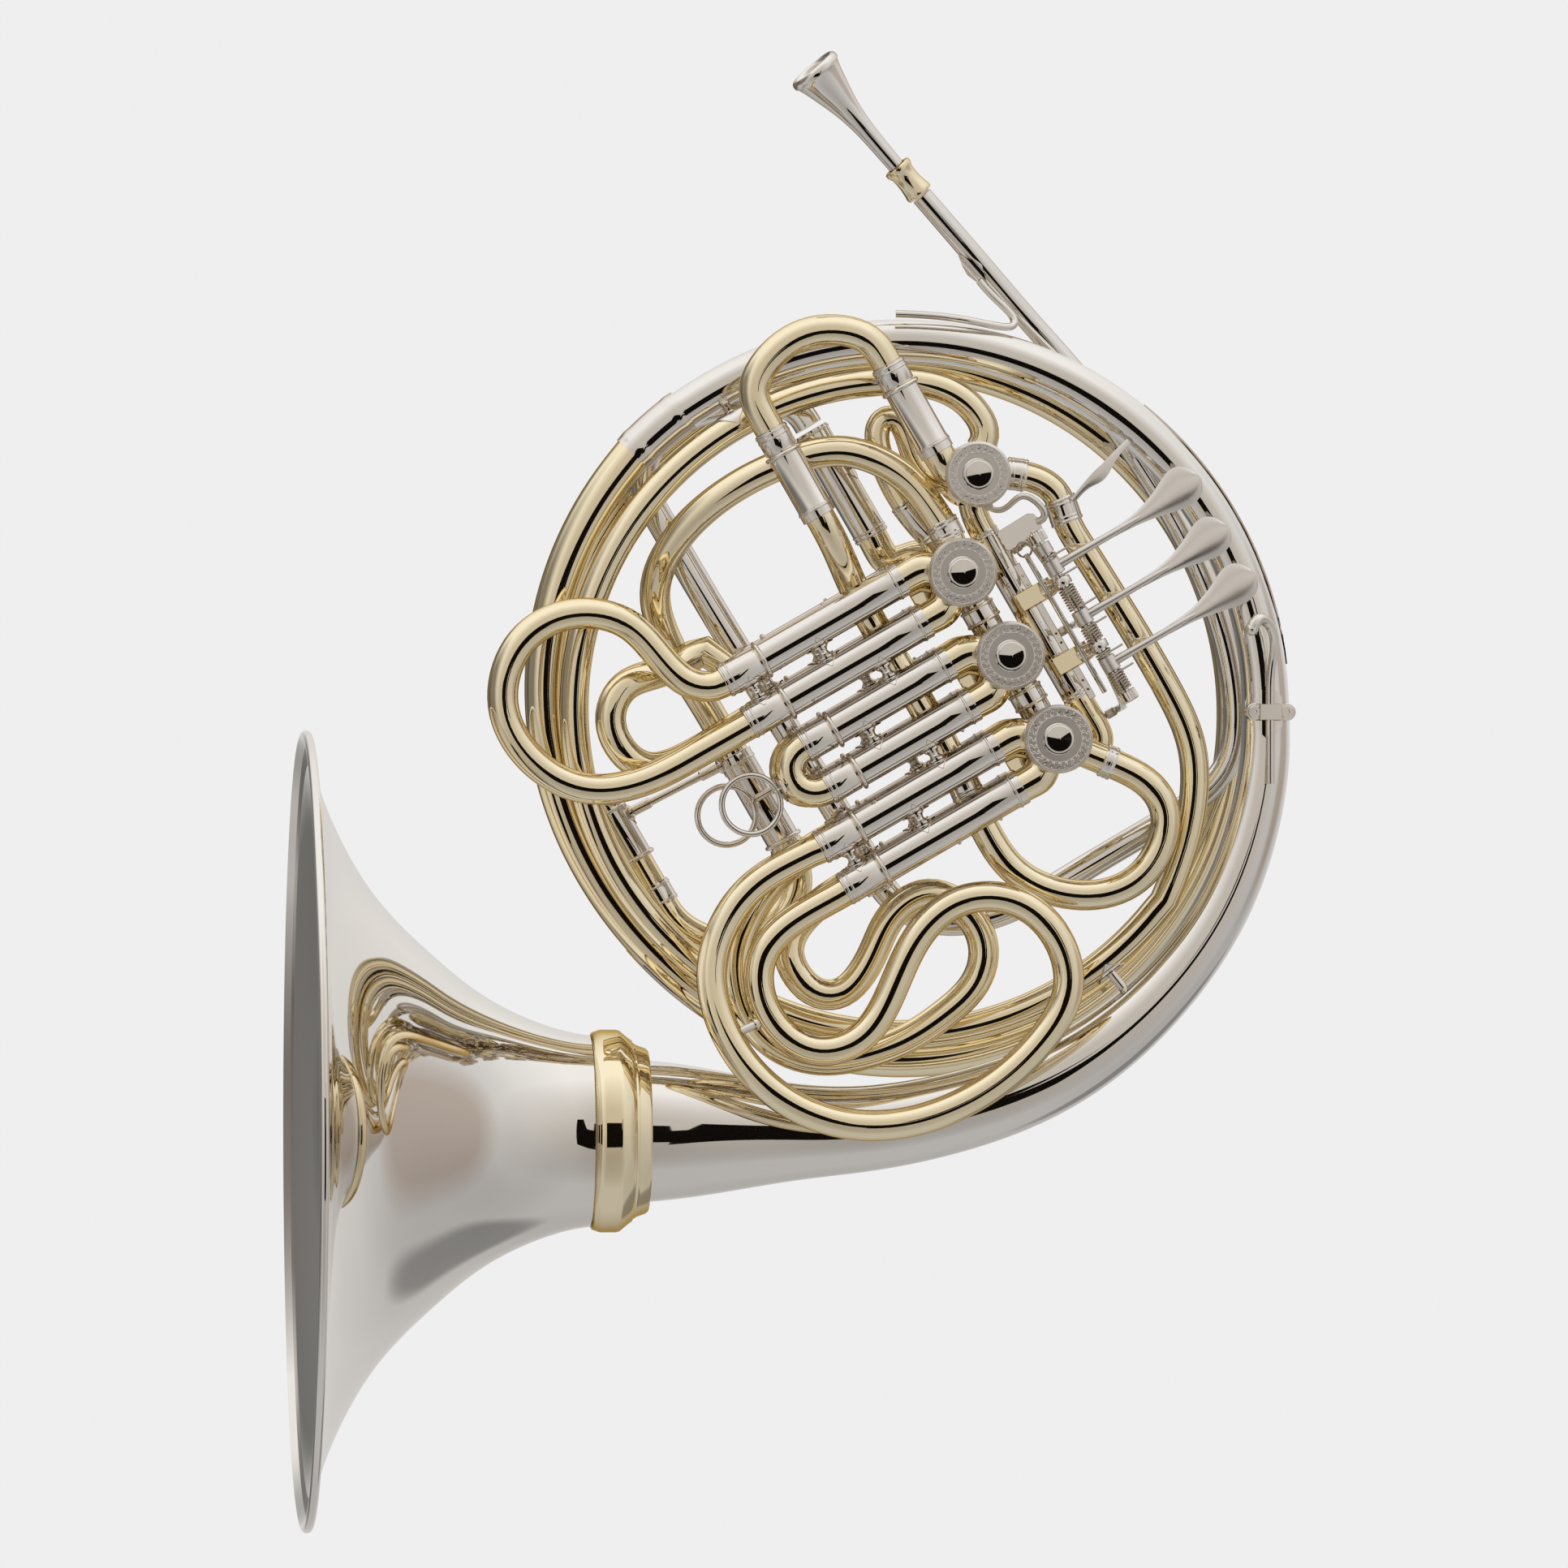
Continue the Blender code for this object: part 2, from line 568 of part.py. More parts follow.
def valve_slides():
    """The six valve slides: three on the F side, three shorter ones on the B flat side."""
    first_f = spline(
        (
            (-71.5, 9.2, F_LEVEL), (-80.0, 6.2, F_LEVEL), (-92.5, 13.0, F_LEVEL), (-105.5, 35.0, F_LEVEL),
            (-132.5, 38.5, F_LEVEL), (-153.0, 25.5, F_LEVEL), (-159.5, 0.0, F_LEVEL), (-147.0, -21.5, F_LEVEL),
            (-125.5, -34.0, F_LEVEL), (-101.0, -29.5, F_LEVEL), (-81.0, -17.7, F_LEVEL), (-70.0, -11.6, F_LEVEL),
            (-62.0, -7.0, F_LEVEL),
        ),
        16.0,
    )
    third_f = spline(
        (
            (-34.5, -54.5, F_LEVEL), (-40.0, -57.5, F_LEVEL), (-54.0, -63.5, F_LEVEL), (-68.5, -77.0, F_LEVEL),
            (-77.5, -99.0, 25.5), (-74.0, -120.5, 28), (-63.0, -140.0, 30), (-45.5, -154.5, 31),
            (-25.0, -162.0, 30), (-2.5, -162.0, 28), (18.5, -155.5, 26.5), (37.5, -144.5, 25),
            (53.0, -129.5, F_LEVEL), (66.0, -110.0, F_LEVEL), (60.0, -87.0, F_LEVEL), (43.0, -72.5, F_LEVEL),
            (19.5, -72.5, F_LEVEL), (3.0, -88.0, F_LEVEL), (-5.0, -109.0, F_LEVEL), (-15.0, -129.5, F_LEVEL),
            (-37.5, -136.0, F_LEVEL), (-56.0, -120.0, F_LEVEL), (-59.5, -97.5, F_LEVEL), (-46.5, -82.5, F_LEVEL),
            (-31.0, -75.0, F_LEVEL), (-25.5, -71.8, F_LEVEL),
        ),
        18.0,
    )
    first_b = spline(
        (
            (-77.0, 22.5, B_FLAT_LEVEL), (-83.0, 19.0, B_FLAT_LEVEL), (-93.0, 13.0, 4), (-108.5, 11.0, 10),
            (-116.0, -3.0, 10.5), (-110.5, -17.5, 10), (-98.5, -25.5, 7), (-83.5, -19.5, -2),
            (-74.5, -14.2, B_FLAT_LEVEL), (-68.0, -10.4, B_FLAT_LEVEL),
        ),
        10.0,
    )
    third_b = spline(
        (
            (-28.0, -51.0, B_FLAT_LEVEL), (-35.0, -55.0, B_FLAT_LEVEL), (-47.5, -63.5, 0), (-57.0, -76.0, 2.5),
            (-64.5, -91.5, 3), (-64.5, -108.5, 3), (-58.5, -124.0, 3), (-45.0, -135.0, 3), (-28.5, -138.0, 3),
            (-12.0, -134.5, 3), (3.5, -128.5, 3), (17.0, -119.0, 3), (30.0, -108.0, 3), (34.0, -91.5, 3),
            (24.5, -76.0, 3), (8.5, -69.5, 3), (-6.0, -81.0, 3), (-10.5, -95.5, 3), (-21.0, -112.5, 3),
            (-36.0, -112.0, 3), (-46.5, -96.0, 3), (-40.5, -82.5, 0), (-28.5, -73.5, B_FLAT_LEVEL),
            (-20.5, -68.8, B_FLAT_LEVEL),
        ),
        18.0,
    )
    sleeves("f_sleeves_1", 1, F_LEVEL, 84.5, 40.0)
    sleeves("f_sleeves_2", 2, F_LEVEL, 74.0, 40.0)
    sleeves("f_sleeves_3", 3, F_LEVEL, 84.5, 40.0)
    slide("f_slide_1", 1, F_LEVEL, 84.5, 100.5, first_f)
    slide("f_slide_2", 2, F_LEVEL, 74.0, 86.5, half_turn(2, F_LEVEL, BOW_START))
    slide("f_slide_3", 3, F_LEVEL, 84.5, 100.5, third_f)
    sleeves("b_flat_sleeves_1", 1, B_FLAT_LEVEL, 78.0, 40.0)
    sleeves("b_flat_sleeves_2", 2, B_FLAT_LEVEL, 74.0, 40.0)
    sleeves("b_flat_sleeves_3", 3, B_FLAT_LEVEL, 78.0, 40.0)
    slide("b_flat_slide_1", 1, B_FLAT_LEVEL, 78.0, 92.0, first_b)
    second_b = slide("b_flat_slide_2", 2, B_FLAT_LEVEL, 74.0, 86.5, half_turn(2, B_FLAT_LEVEL, BOW_START))
    foot = bow_end(B_FLAT_LEVEL) - PULL * 3.0
    stub = rod("ring_stub", 1.5, RING_STUB + 2.5, "nickel_silver", foot, PULL, 8, tool=True)
    join(second_b, stub)
    slide("b_flat_slide_3", 3, B_FLAT_LEVEL, 78.0, 92.0, third_b)


# ---------------------------------------------------------------- tuning slides and links

def sleeve_run(start, direction, mouth, end):
    """A sleeve with a bead round its mouth."""
    stations = ((mouth, BEAD), (mouth + 1.2, BEAD), (mouth + 1.5, SLEEVE), (end, SLEEVE))
    return straight(start, direction, stations)


def main_tuning():
    """The front tuning slide, its two sleeves, and the tube that feeds the third valve from it."""
    left = Vector((-52.9, 107.3, F_LEVEL))
    right = Vector((-7.5, 132.7, F_LEVEL))
    mouth = 9.3
    crook = spline(
        (
            (-55.2, 111.3, F_LEVEL), (-58.5, 117.0, F_LEVEL), (-61.0, 125.0, F_LEVEL), (-51.0, 139.0, F_LEVEL),
            (-37.0, 147.0, F_LEVEL), (-19.0, 146.0, F_LEVEL), (-12.5, 141.3, F_LEVEL), (-9.7, 136.5, F_LEVEL),
        ),
        9.0,
    )
    stop = mouth - GAP
    stations = ((34.0, SLIDE_TUBE), (stop, SLIDE_TUBE), (stop - 0.2, SLEEVE), (0.2, SLEEVE), (0, CROOK))
    route = straight(left, ROW, stations) + sized(crook, CROOK) + straight(right, ROW, stations)[::-1]
    pipe("main_tuning_slide", route, "lacquered_brass")

    sleeve = pipe("main_sleeve_left", sleeve_run(left, ROW, mouth, 38.6), "nickel_silver")
    hole = straight(left, ROW, ((mouth - 3, BORE), (36.0, BORE)))
    cut(sleeve, pipe("main_left_bore", hole, "nickel_silver", 12, tool=True))

    knuckle = ((13.2, 97.0, F_LEVEL, 6), (15.5, 92.6, 21.5, 6), (18.2, 89.4, 18.6, 5.8), (21.5, 88.5, 17, 5.8))
    sleeve = pipe("main_sleeve_right", sleeve_run(right, ROW, mouth, 40.2) + list(knuckle), "nickel_silver")
    hole = straight(right, ROW, ((mouth - 3, BORE), (36.0, BORE)))
    bore = pipe("main_right_bore", hole, "nickel_silver", 12, tool=True)
    cap_base = CHANGE_VALVE + UP * (CHANGE_HIGH - 2.5)
    cap_room = rod("change_cap_clearance", CAP - 0.2, 12.0, "steel", cap_base, UP, 16, tool=True)
    cut(sleeve, bore, cap_room, *clearance("change"))

    feed = spline(
        (
            (-32.8, 72.4, F_LEVEL), (-30.4, 68.4, 23.5), (-25.0, 58.5, 18), (-18.5, 44.0, 8.5), (-4.5, 20.5, 9.5),
            (5.5, 4.0, 10), (15.5, -13.0, 10), (23.5, -29.5, 10), (31.5, -47.0, 10), (41.5, -64.0, 10),
            (60.0, -73.0, 10), (80.5, -73.5, 10), (97.0, -64.0, 10), (105.5, -42.0, 10), (95.5, -26.5, 10),
            (81.0, -21.5, 10), (66.5, -15.5, 10),
        ),
        12.0,
    )
    cut(pipe("feed_tube", sized(feed, 5.9), "lacquered_brass"), *clearance(3))


def rear_tuning():
    """The arch from the first valve, and the rear tuning slide between it and the outer coil."""
    level = -36.5
    arch = spline(
        (
            (19.5, 60.0, 14), (17.5, 67.0, 14), (9.5, 79.5, 13.5), (-0.5, 92.0, 12.5), (-23.5, 102.5, 11),
            (-48.0, 95.0, 9.5), (-68.5, 84.5, 6), (-87.0, 68.5, -1), (-98.5, 46.0, -14), (-88.0, 22.0, -27),
            (-74.8, 3.5, -35), (-66.4, -11.0, -36.5), (-62.5, -17.8, -36.5),
        ),
        13.0,
    )
    cut(pipe("arch_tube", sized(arch, CROOK), "lacquered_brass"), *clearance(1))

    right = Vector((-62.3, -18.2, level))
    left = Vector((-112.9, -37.4, level))
    right_mouth = 39.5
    left_mouth = 25.5
    sleeve = pipe("rear_tuning_sleeves", sleeve_run(right, -ROW, -right_mouth, 0), "nickel_silver")
    other = pipe("rear_sleeve_left", sleeve_run(left, -ROW, -left_mouth, 0), "nickel_silver", tool=True)
    span = (right + ROW * 1.5) - (left + ROW * 7.5)
    brace = rod("rear_brace", 1.5, span.length, "nickel_silver", left + ROW * 7.5, span, 8, tool=True)
    holes = (
        straight(right, ROW, ((4, BORE), (right_mouth + 3, BORE))),
        straight(left, ROW, ((4, BORE), (left_mouth + 3, BORE))),
    )
    pair = join(sleeve, other, brace)
    cut(pair, *(pipe(f"rear_bore_{k}", hole, "nickel_silver", 12, tool=True) for k, hole in enumerate(holes)))

    crook = spline(
        (
            (-89.8, -77.4, level), (-86.6, -83.0, level), (-77.1, -90.5, level), (-60.2, -93.5, level),
            (-44.7, -84.5, level), (-35.9, -71.0, level), (-37.9, -61.0, level), (-41.2, -54.8, level),
        ),
        9.0,
    )
    exposed = ((8.0, SLIDE_TUBE), (39.0, SLIDE_TUBE), (39.2, SLEEVE), (45.6, SLEEVE), (45.8, CROOK))
    plain = ((8.0, SLIDE_TUBE), (right_mouth + 1.5, SLIDE_TUBE))
    route = straight(left, ROW, exposed) + sized(crook, CROOK) + straight(right, ROW, plain)[::-1]
    pipe("rear_tuning_slide", route, "lacquered_brass")


def links():
    """The sleeve and elbow into the first valve, the linking crook, and the tube beside the valves."""
    start = Vector((-33.9, 108.1, -14.0))
    sleeve = straight(start, ROW, ((0, 6.9), (46.3, 6.9), (46.5, 7.6), (47.6, 7.6), (47.8, 5.8)))
    elbow = spline(
        (
            (-9.7, 66.1, -14), (-7.8, 62.8, -14.5), (-4.0, 56.0, -15.5), (3.0, 58.0, -16),
            (11.0, 62.0, -16), (16.0, 60.0, -16),
        ),
        7.0,
    )
    cut(pipe("link_sleeve", sleeve + sized(elbow, 5.8), "nickel_silver"), *clearance(1))

    crook = spline(
        (
            (16.5, 60.0, -3), (13.5, 65.0, -3), (8.5, 70.0, -3.5), (1.5, 78.5, -4), (-6.0, 92.0, -6),
            (-11.5, 111.5, -6), (1.5, 115.5, -6), (5.0, 95.0, -6), (12.0, 88.0, -6), (19.0, 88.0, -6),
        ),
        8.0,
    )
    cut(pipe("linking_crook", sized(crook, 4.8), "nickel_silver"), *clearance(1, "change"))

    run = spline(
        (
            (28.6, 80.0, -9), (29.3, 75.5, -9.5), (32.5, 69.3, -10), (40.5, 55.5, -10), (56.5, 27.8, -10),
            (66.5, 10.5, -10), (74.0, -2.5, -10), (81.5, -13.5, -10), (75.0, -19.0, -10), (66.0, -15.0, -10),
        ),
        14.0,
    )
    tube = pipe("row_tube", sized(run, 5.2), "nickel_silver")
    pieces = []
    for along in BRACKETS:
        foot = AXLE_START + ROW * along - REACH * 14.5
        foot.z = 0
        runs = (
            ("bar", 2.2, 16.5, foot - REACH * 1.5 + UP * 7.5, REACH),
            ("post", 2.6, 15.0, foot - UP * 8, UP),
            ("lug", 3.4, 17.5, foot + REACH * 14.5 + UP * 6.0, UP),
        )
        for label, radius, length, at, axis in runs:
            name = f"bracket_{label}_{along:.0f}"
            pieces.append(rod(name, radius, length, "nickel_silver", at, axis, 8, tool=True))
    tube = join(tube, *pieces)
    before = AXLE_START - ROW * 10
    spindle = rod("axle_clearance", AXLE + GAP, AXLE_LENGTH + 20, "steel", before, ROW, tool=True)
    cut(tube, spindle, *clearance("change", 3))


# ---------------------------------------------------------------- levers

# A finger paddle's outline: x runs out from the axle
PADDLE = (
    (32.0, 1.6), (40.0, 3.2), (47.0, 6.2), (54.0, 9.4), (59.5, 9.6), (64.0, 6.2),
    (66.0, 1.0), (64.5, -3.4), (60.0, -5.4), (50.0, -4.4), (40.0, -2.4), (32.0, -1.6),
)


def axle_point(along):
    return AXLE_START + ROW * along


def hub(name, along, length, others):
    """A lever's hub on the axle, with its other pieces joined on and the axle's hole through it."""
    body = rod(name, HUB, length, "satin_nickel", axle_point(along), ROW, 12)
    join(body, *others)
    hole = rod(name + "_hole", HUB_BORE, length + 6, "steel", axle_point(along - 3), ROW, 12, tool=True)
    cut(body, hole)


def levers():
    """Three finger levers and the thumb lever on one axle, with the link rods of the finger levers."""
    profile = (
        (0, AXLE_LENGTH + 4), (3.0, AXLE_LENGTH + 4), (3.8, AXLE_LENGTH + 3), (3.8, AXLE_LENGTH - 0.6),
        (AXLE, AXLE_LENGTH - 0.8), (AXLE, -0.2), (3.8, -0.4), (3.8, -4.0), (3.0, -5.0), (0, -5.0),
    )
    turned("lever_axle", profile, "nickel_silver", AXLE_START, ROW, 12)

    for number, along in enumerate(HUBS, 1):
        start = axle_point(along)
        name = f"lever_{number}"
        stations = ((1.5, 0.5, 2.0), (14, 2.2, 1.8), (36, 4.0, 1.7))
        arm_route = [(*(start + REACH * out + UP * rise), size) for out, rise, size in stations]
        arm = pipe(name + "_arm", arm_route, "satin_nickel", tool=True)
        paddle = plate(name + "_paddle", PADDLE, 1.5, "satin_nickel", start + UP * 4.0, REACH, UP, tool=True)
        foot = AXLE_START + ROW * LINKS[number - 1] + UP * (LINK_LEVEL - AXLE_LEVEL)
        tail_route = spline(
            (
                start - UP * 1.5, start - UP * 12, start - UP * 19,
                foot + UP * 20, foot + UP * 6, foot - UP * 1.5,
            ),
            9.0,
        )
        tail_arm = pipe(name + "_tail", sized(tail_route, 1.5), "satin_nickel", 8, tool=True)
        hub(name, along - HUB_LENGTH / 2, HUB_LENGTH, (arm, paddle, tail_arm))
        near = valve_centre(number) + UP * LINK_LEVEL
        reach = (foot - near).dot(REACH)
        side = (foot - near).dot(ROW)
        beside = near + ROW * side - REACH * 3.6
        rod(f"link_rod_{number}", 1.2, reach + 3.6 - 1.5 - GAP, "steel", beside, REACH, 8)

    seat = AXLE_START - ROW * 7.5 - REACH * 3.5
    seat.z = 9.0
    outline = ((-8.5, -4.2), (6.5, -4.6), (8.5, -2.5), (8.5, 2.5), (6.5, 4.6), (-8.5, 4.2))
    thumb_plate = plate("thumb_paddle", outline, 1.6, "satin_nickel", seat, REACH, UP, tool=True)
    drop_route = [
        (*(axle_point(2.6) - UP * 1.5), 1.6), (*(axle_point(2.2) - UP * 7), 1.6),
        (*(seat + ROW * 2.5 + REACH * 4), 1.5),
    ]
    drop = pipe("thumb_drop", drop_route, "satin_nickel", tool=True)
    curl = spline(
        (
            seat - ROW * 1.0 - REACH * 4.5, seat - ROW * 5 - REACH * 6,
            (45.5, 81.5, 9), (42.0, 79.0, 9), (38.0, 75.5, 9), (33.5, 73.5, 9),
        ),
        5.0,
    )
    s_arm = pipe("thumb_arm", sized(curl, 1.3), "satin_nickel", tool=True)
    hub("thumb_lever", 0.4, 4.6, (drop, thumb_plate, s_arm))


# ---------------------------------------------------------------- hook and rings

def pinky_hook():
    """The little finger's hook, which slides in a clamp on the tail."""
    route = spline(
        (
            (143.5, -29.5, 8.5), (143.5, -10.0, 8.5), (143.5, 5.0, 8.5), (143.5, 16.0, 9.0), (146.5, 30.0, 13.0),
            (136.0, 37.0, 25.0), (132.5, 29.0, 23.0),
        ),
        8.0,
    )
    pipe("pinky_hook", sized(route, 1.7, 2.3), "nickel_silver")
    centre = Vector((143.5, -1.6, 7.95))
    outline = ((-9.3, -3.5), (9.3, -3.5), (9.3, 3.5), (-9.3, 3.5))
    block = plate("hook_clamp", outline, 6.1, "nickel_silver", centre, (1, 0, 0), UP)
    screws = []
    for side in (-1, 1):
        at = centre + Vector((side * 6.4, 0, 1.0))
        screws.append(rod(f"clamp_screw_{side}", 2.0, 4.0, "steel", at, UP, 10, tool=True))
    block = join(block, *screws)
    hole = rod("hook_hole", 2.05, 20, "steel", (143.5, -11.6, 8.5), (0, 1, 0), tool=True)
    cut(block, hole)


def pull_rings():
    """The two loose rings on the ends of the second valve's slides."""
    radius = 11.4
    wire = 1.2
    turns = [math.radians(90 - 60 * k) for k in range(6)]
    profile = [(radius + wire * math.cos(turn), wire * math.sin(turn)) for turn in turns]
    for name, level, post in (("pull_ring_1", F_LEVEL, 0), ("pull_ring_2", B_FLAT_LEVEL, RING_STUB)):
        centre = bow_end(level) + PULL * (post + radius + wire + GAP)
        turned(name, profile, "nickel_silver", centre, UP, 16)


# ---------------------------------------------------------------- build

bell()
tail()
coils()
leadpipe()
valves()
valve_slides()
main_tuning()
rear_tuning()
links()
levers()
pinky_hook()
pull_rings()
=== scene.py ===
"""The looks of the double french horn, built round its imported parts.

Everything is drawn in the horn's own frame, in millimetres, and turned into the parts' frame as it is
made: u runs away from the bell's mouth, v towards the mouthpiece, and w towards the valve caps.
"""

import math

import bpy
from mathutils import Matrix, Vector


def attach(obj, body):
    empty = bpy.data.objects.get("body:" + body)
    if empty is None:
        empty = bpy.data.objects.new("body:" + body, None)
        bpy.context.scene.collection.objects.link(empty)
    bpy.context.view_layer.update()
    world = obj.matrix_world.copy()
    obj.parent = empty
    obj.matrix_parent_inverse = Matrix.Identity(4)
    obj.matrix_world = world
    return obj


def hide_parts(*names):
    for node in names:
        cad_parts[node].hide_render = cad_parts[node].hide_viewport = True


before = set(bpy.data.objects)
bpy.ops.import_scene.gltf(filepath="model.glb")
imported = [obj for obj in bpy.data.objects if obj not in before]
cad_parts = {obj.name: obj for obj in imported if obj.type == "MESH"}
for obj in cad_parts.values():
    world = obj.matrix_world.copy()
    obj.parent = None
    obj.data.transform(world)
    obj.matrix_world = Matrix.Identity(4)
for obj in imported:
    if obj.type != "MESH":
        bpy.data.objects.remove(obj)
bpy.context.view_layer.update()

MM = 0.001
COIL_HEIGHT = 233.4
COIL_OFFSET = -32.2

# Bell
BELL_AXIS_V = -164.3
RIM_U = -COIL_HEIGHT
RIM_RADIUS = 155.5
BELL_WALL = 0.8

# Radii of the coils' rounds
TAIL_ROUND = 143.3
F_COIL_ROUND = 127.2

# Tubing radii
SLIDE_TUBE = 6.0
SLEEVE = 6.75
BEAD = 7.9
CROOK = 6.0

# Directions and valves
ROW = Vector((0.5, -0.866, 0.0))
PULL = Vector((-0.866, -0.5, 0.0))
REACH = Vector((0.866, 0.5, 0.0))
UP = Vector((0.0, 0.0, 1.0))
CATCH = Vector((0.0, 0.1, 0.0))  # tips a flat face a little, so that it catches the light
PITCH = 37.2
VALVES = {n: Vector((39.5, 20.0, 0.0)) + ROW * PITCH * (n - 2) for n in (1, 2, 3)}
VALVES["change"] = Vector((27.4, 90.3, 0.0))
CASING = 11.5
CASING_LOW = -22.0
F_LEVEL = 24.0
B_FLAT_LEVEL = -4.0
HALF_GAUGE = 9.3
BOW_START = 87.0
RING_STUB = 8.5
AXLE_START = Vector((52.5, 63.7, 20.0))
AXLE_LENGTH = 66.8
HUBS = (10.6, 33.0, 53.9)
LINKS = (-1.4, 35.8, 73.0)
BRACKETS = (17.2, 45.8)
LINK_LEVEL = -30.0
REAR_LEVEL = -36.5


# ---------------------------------------------------------------- materials

def metal(name, colour, roughness, tint, edge=(1.0, 1.0, 1.0), grain=900.0, streaks=False):
    """A polished or satin metal: its colour and gloss vary faintly, with fine polishing marks."""
    made = bpy.data.materials.new(name)
    made.use_nodes = True
    nodes = made.node_tree.nodes
    link = made.node_tree.links.new
    shader = nodes["Principled BSDF"]
    shader.inputs["Metallic"].default_value = 1.0
    shader.inputs["Specular Tint"].default_value = (*edge, 1)
    place = nodes.new("ShaderNodeTexCoord")

    cloud = nodes.new("ShaderNodeTexNoise")
    cloud.inputs["Scale"].default_value = 26.0
    cloud.inputs["Detail"].default_value = 3.0
    link(place.outputs["Object"], cloud.inputs["Vector"])
    blend = nodes.new("ShaderNodeMix")
    blend.data_type = "RGBA"
    blend.inputs["A"].default_value = (*colour, 1)
    blend.inputs["B"].default_value = (*tint, 1)
    link(cloud.outputs["Fac"], blend.inputs["Factor"])
    link(blend.outputs["Result"], shader.inputs["Base Color"])

    fine = nodes.new("ShaderNodeTexNoise")
    fine.inputs["Scale"].default_value = grain
    fine.inputs["Detail"].default_value = 2.0
    if streaks:
        stretch = nodes.new("ShaderNodeMapping")
        stretch.inputs["Scale"].default_value = (1.0, 1.0, 0.06)
        link(place.outputs["Object"], stretch.inputs["Vector"])
        link(stretch.outputs["Vector"], fine.inputs["Vector"])
    else:
        link(place.outputs["Object"], fine.inputs["Vector"])
    spread = nodes.new("ShaderNodeMapRange")
    spread.inputs["From Min"].default_value = 0.3
    spread.inputs["From Max"].default_value = 0.7
    spread.inputs["To Min"].default_value = roughness * 0.75
    spread.inputs["To Max"].default_value = roughness * 1.3
    link(cloud.outputs["Fac"], spread.inputs["Value"])
    link(spread.outputs["Result"], shader.inputs["Roughness"])
    bump = nodes.new("ShaderNodeBump")
    bump.inputs["Strength"].default_value = 0.10 if streaks else 0.01
    bump.inputs["Distance"].default_value = 0.00003
    link(fine.outputs["Fac"], bump.inputs["Height"])
    link(bump.outputs["Normal"], shader.inputs["Normal"])
    return made


FINISHES = {
    "nickel_silver": metal(
        "nickel_polish", (0.83, 0.80, 0.755), 0.035, (0.79, 0.75, 0.70), (0.62, 0.50, 0.38),
    ),
    "spun_silver": metal("nickel_spun", (0.83, 0.80, 0.76), 0.03, (0.80, 0.765, 0.72)),
    "lacquered_brass": metal(
        "brass_polish", (0.92, 0.825, 0.62), 0.035, (0.90, 0.785, 0.53), (0.62, 0.45, 0.20),
    ),
    "silver_plate": metal("silver_polish", (0.85, 0.825, 0.79), 0.03, (0.81, 0.78, 0.74), (0.65, 0.53, 0.42)),
    "satin_nickel": metal(
        "satin_brush", (0.80, 0.765, 0.725), 0.30, (0.76, 0.72, 0.68), grain=1500.0, streaks=True,
    ),
    "steel": metal("steel_turned", (0.52, 0.46, 0.39), 0.12, (0.44, 0.38, 0.31), grain=1200.0, streaks=True),
}


# ---------------------------------------------------------------- curves and solids

def spline(control, spacing=3.0):
    """Points along the clamped cubic B-spline of its control points."""
    control = [Vector(point) for point in control]
    spans = len(control) - 3
    knots = [0] * 3 + list(range(spans + 1)) + [spans] * 3

    def at(t):
        first = min(int(t), spans - 1)
        near = [control[first + j] for j in range(4)]
        for level in range(1, 4):
            for j in range(3, level - 1, -1):
                low = knots[first + j]
                high = knots[first + j + 4 - level]
                near[j] = near[j - 1].lerp(near[j], (t - low) / (high - low))
        return near[3]

    hull = sum((a - b).length for a, b in zip(control, control[1:]))
    steps = max(4, round(hull / spacing))
    return [at(spans * k / steps) for k in range(steps + 1)]


def flat(level, *spots):
    """Points of (u, v), all at one level."""
    return [(u, v, level) for u, v in spots]


def arc(stations, spacing=1.6):
    """A coil round the origin: stations are (degrees, radius, w), smoothly joined."""
    route = []
    for degrees, radius, w in spline(stations, spacing):
        turn = math.radians(degrees)
        route.append(Vector((radius * math.cos(turn), radius * math.sin(turn), w)))
    return route


def chain(*routes):
    """Routes joined end to end, without the points that two of them share."""
    joined = []
    for route in routes:
        for spot in route:
            if not joined or (Vector(spot[:3]) - Vector(joined[-1][:3])).length > 1.2:
                joined.append(spot)
    return joined


def evened(route, passes=6):
    """The same route with its small unevennesses averaged out, its ends kept."""
    spots = [Vector(spot) for spot in route]
    for _ in range(passes):
        inner = [(a + b * 2 + c) / 4 for a, b, c in zip(spots, spots[1:], spots[2:])]
        spots = [spots[0], *inner, spots[-1]]
    return spots


def sized(route, radius, end_radius=None):
    """The route with a tube radius at each point, even or tapering."""
    end_radius = radius if end_radius is None else end_radius
    last = max(1, len(route) - 1)
    return [(*spot[:3], radius + (end_radius - radius) * k / last) for k, spot in enumerate(route)]


def straight(start, direction, stations):
    """A straight run: stations are (distance from start, radius)."""
    return [(*(start + direction * along), radius) for along, radius in stations]


def bead(at, low, high, half, steps=6):
    """Stations of a half-round bead on a tube of radius low."""
    turns = [math.pi * k / steps for k in range(steps + 1)]
    return [(at - half * math.cos(turn), low + (high - low) * math.sin(turn)) for turn in turns]


def around(axis):
    """An axis made unit length, and two directions square to it."""
    axis = Vector(axis).normalized()
    side = axis.orthogonal().normalized()
    return axis, side, axis.cross(side)


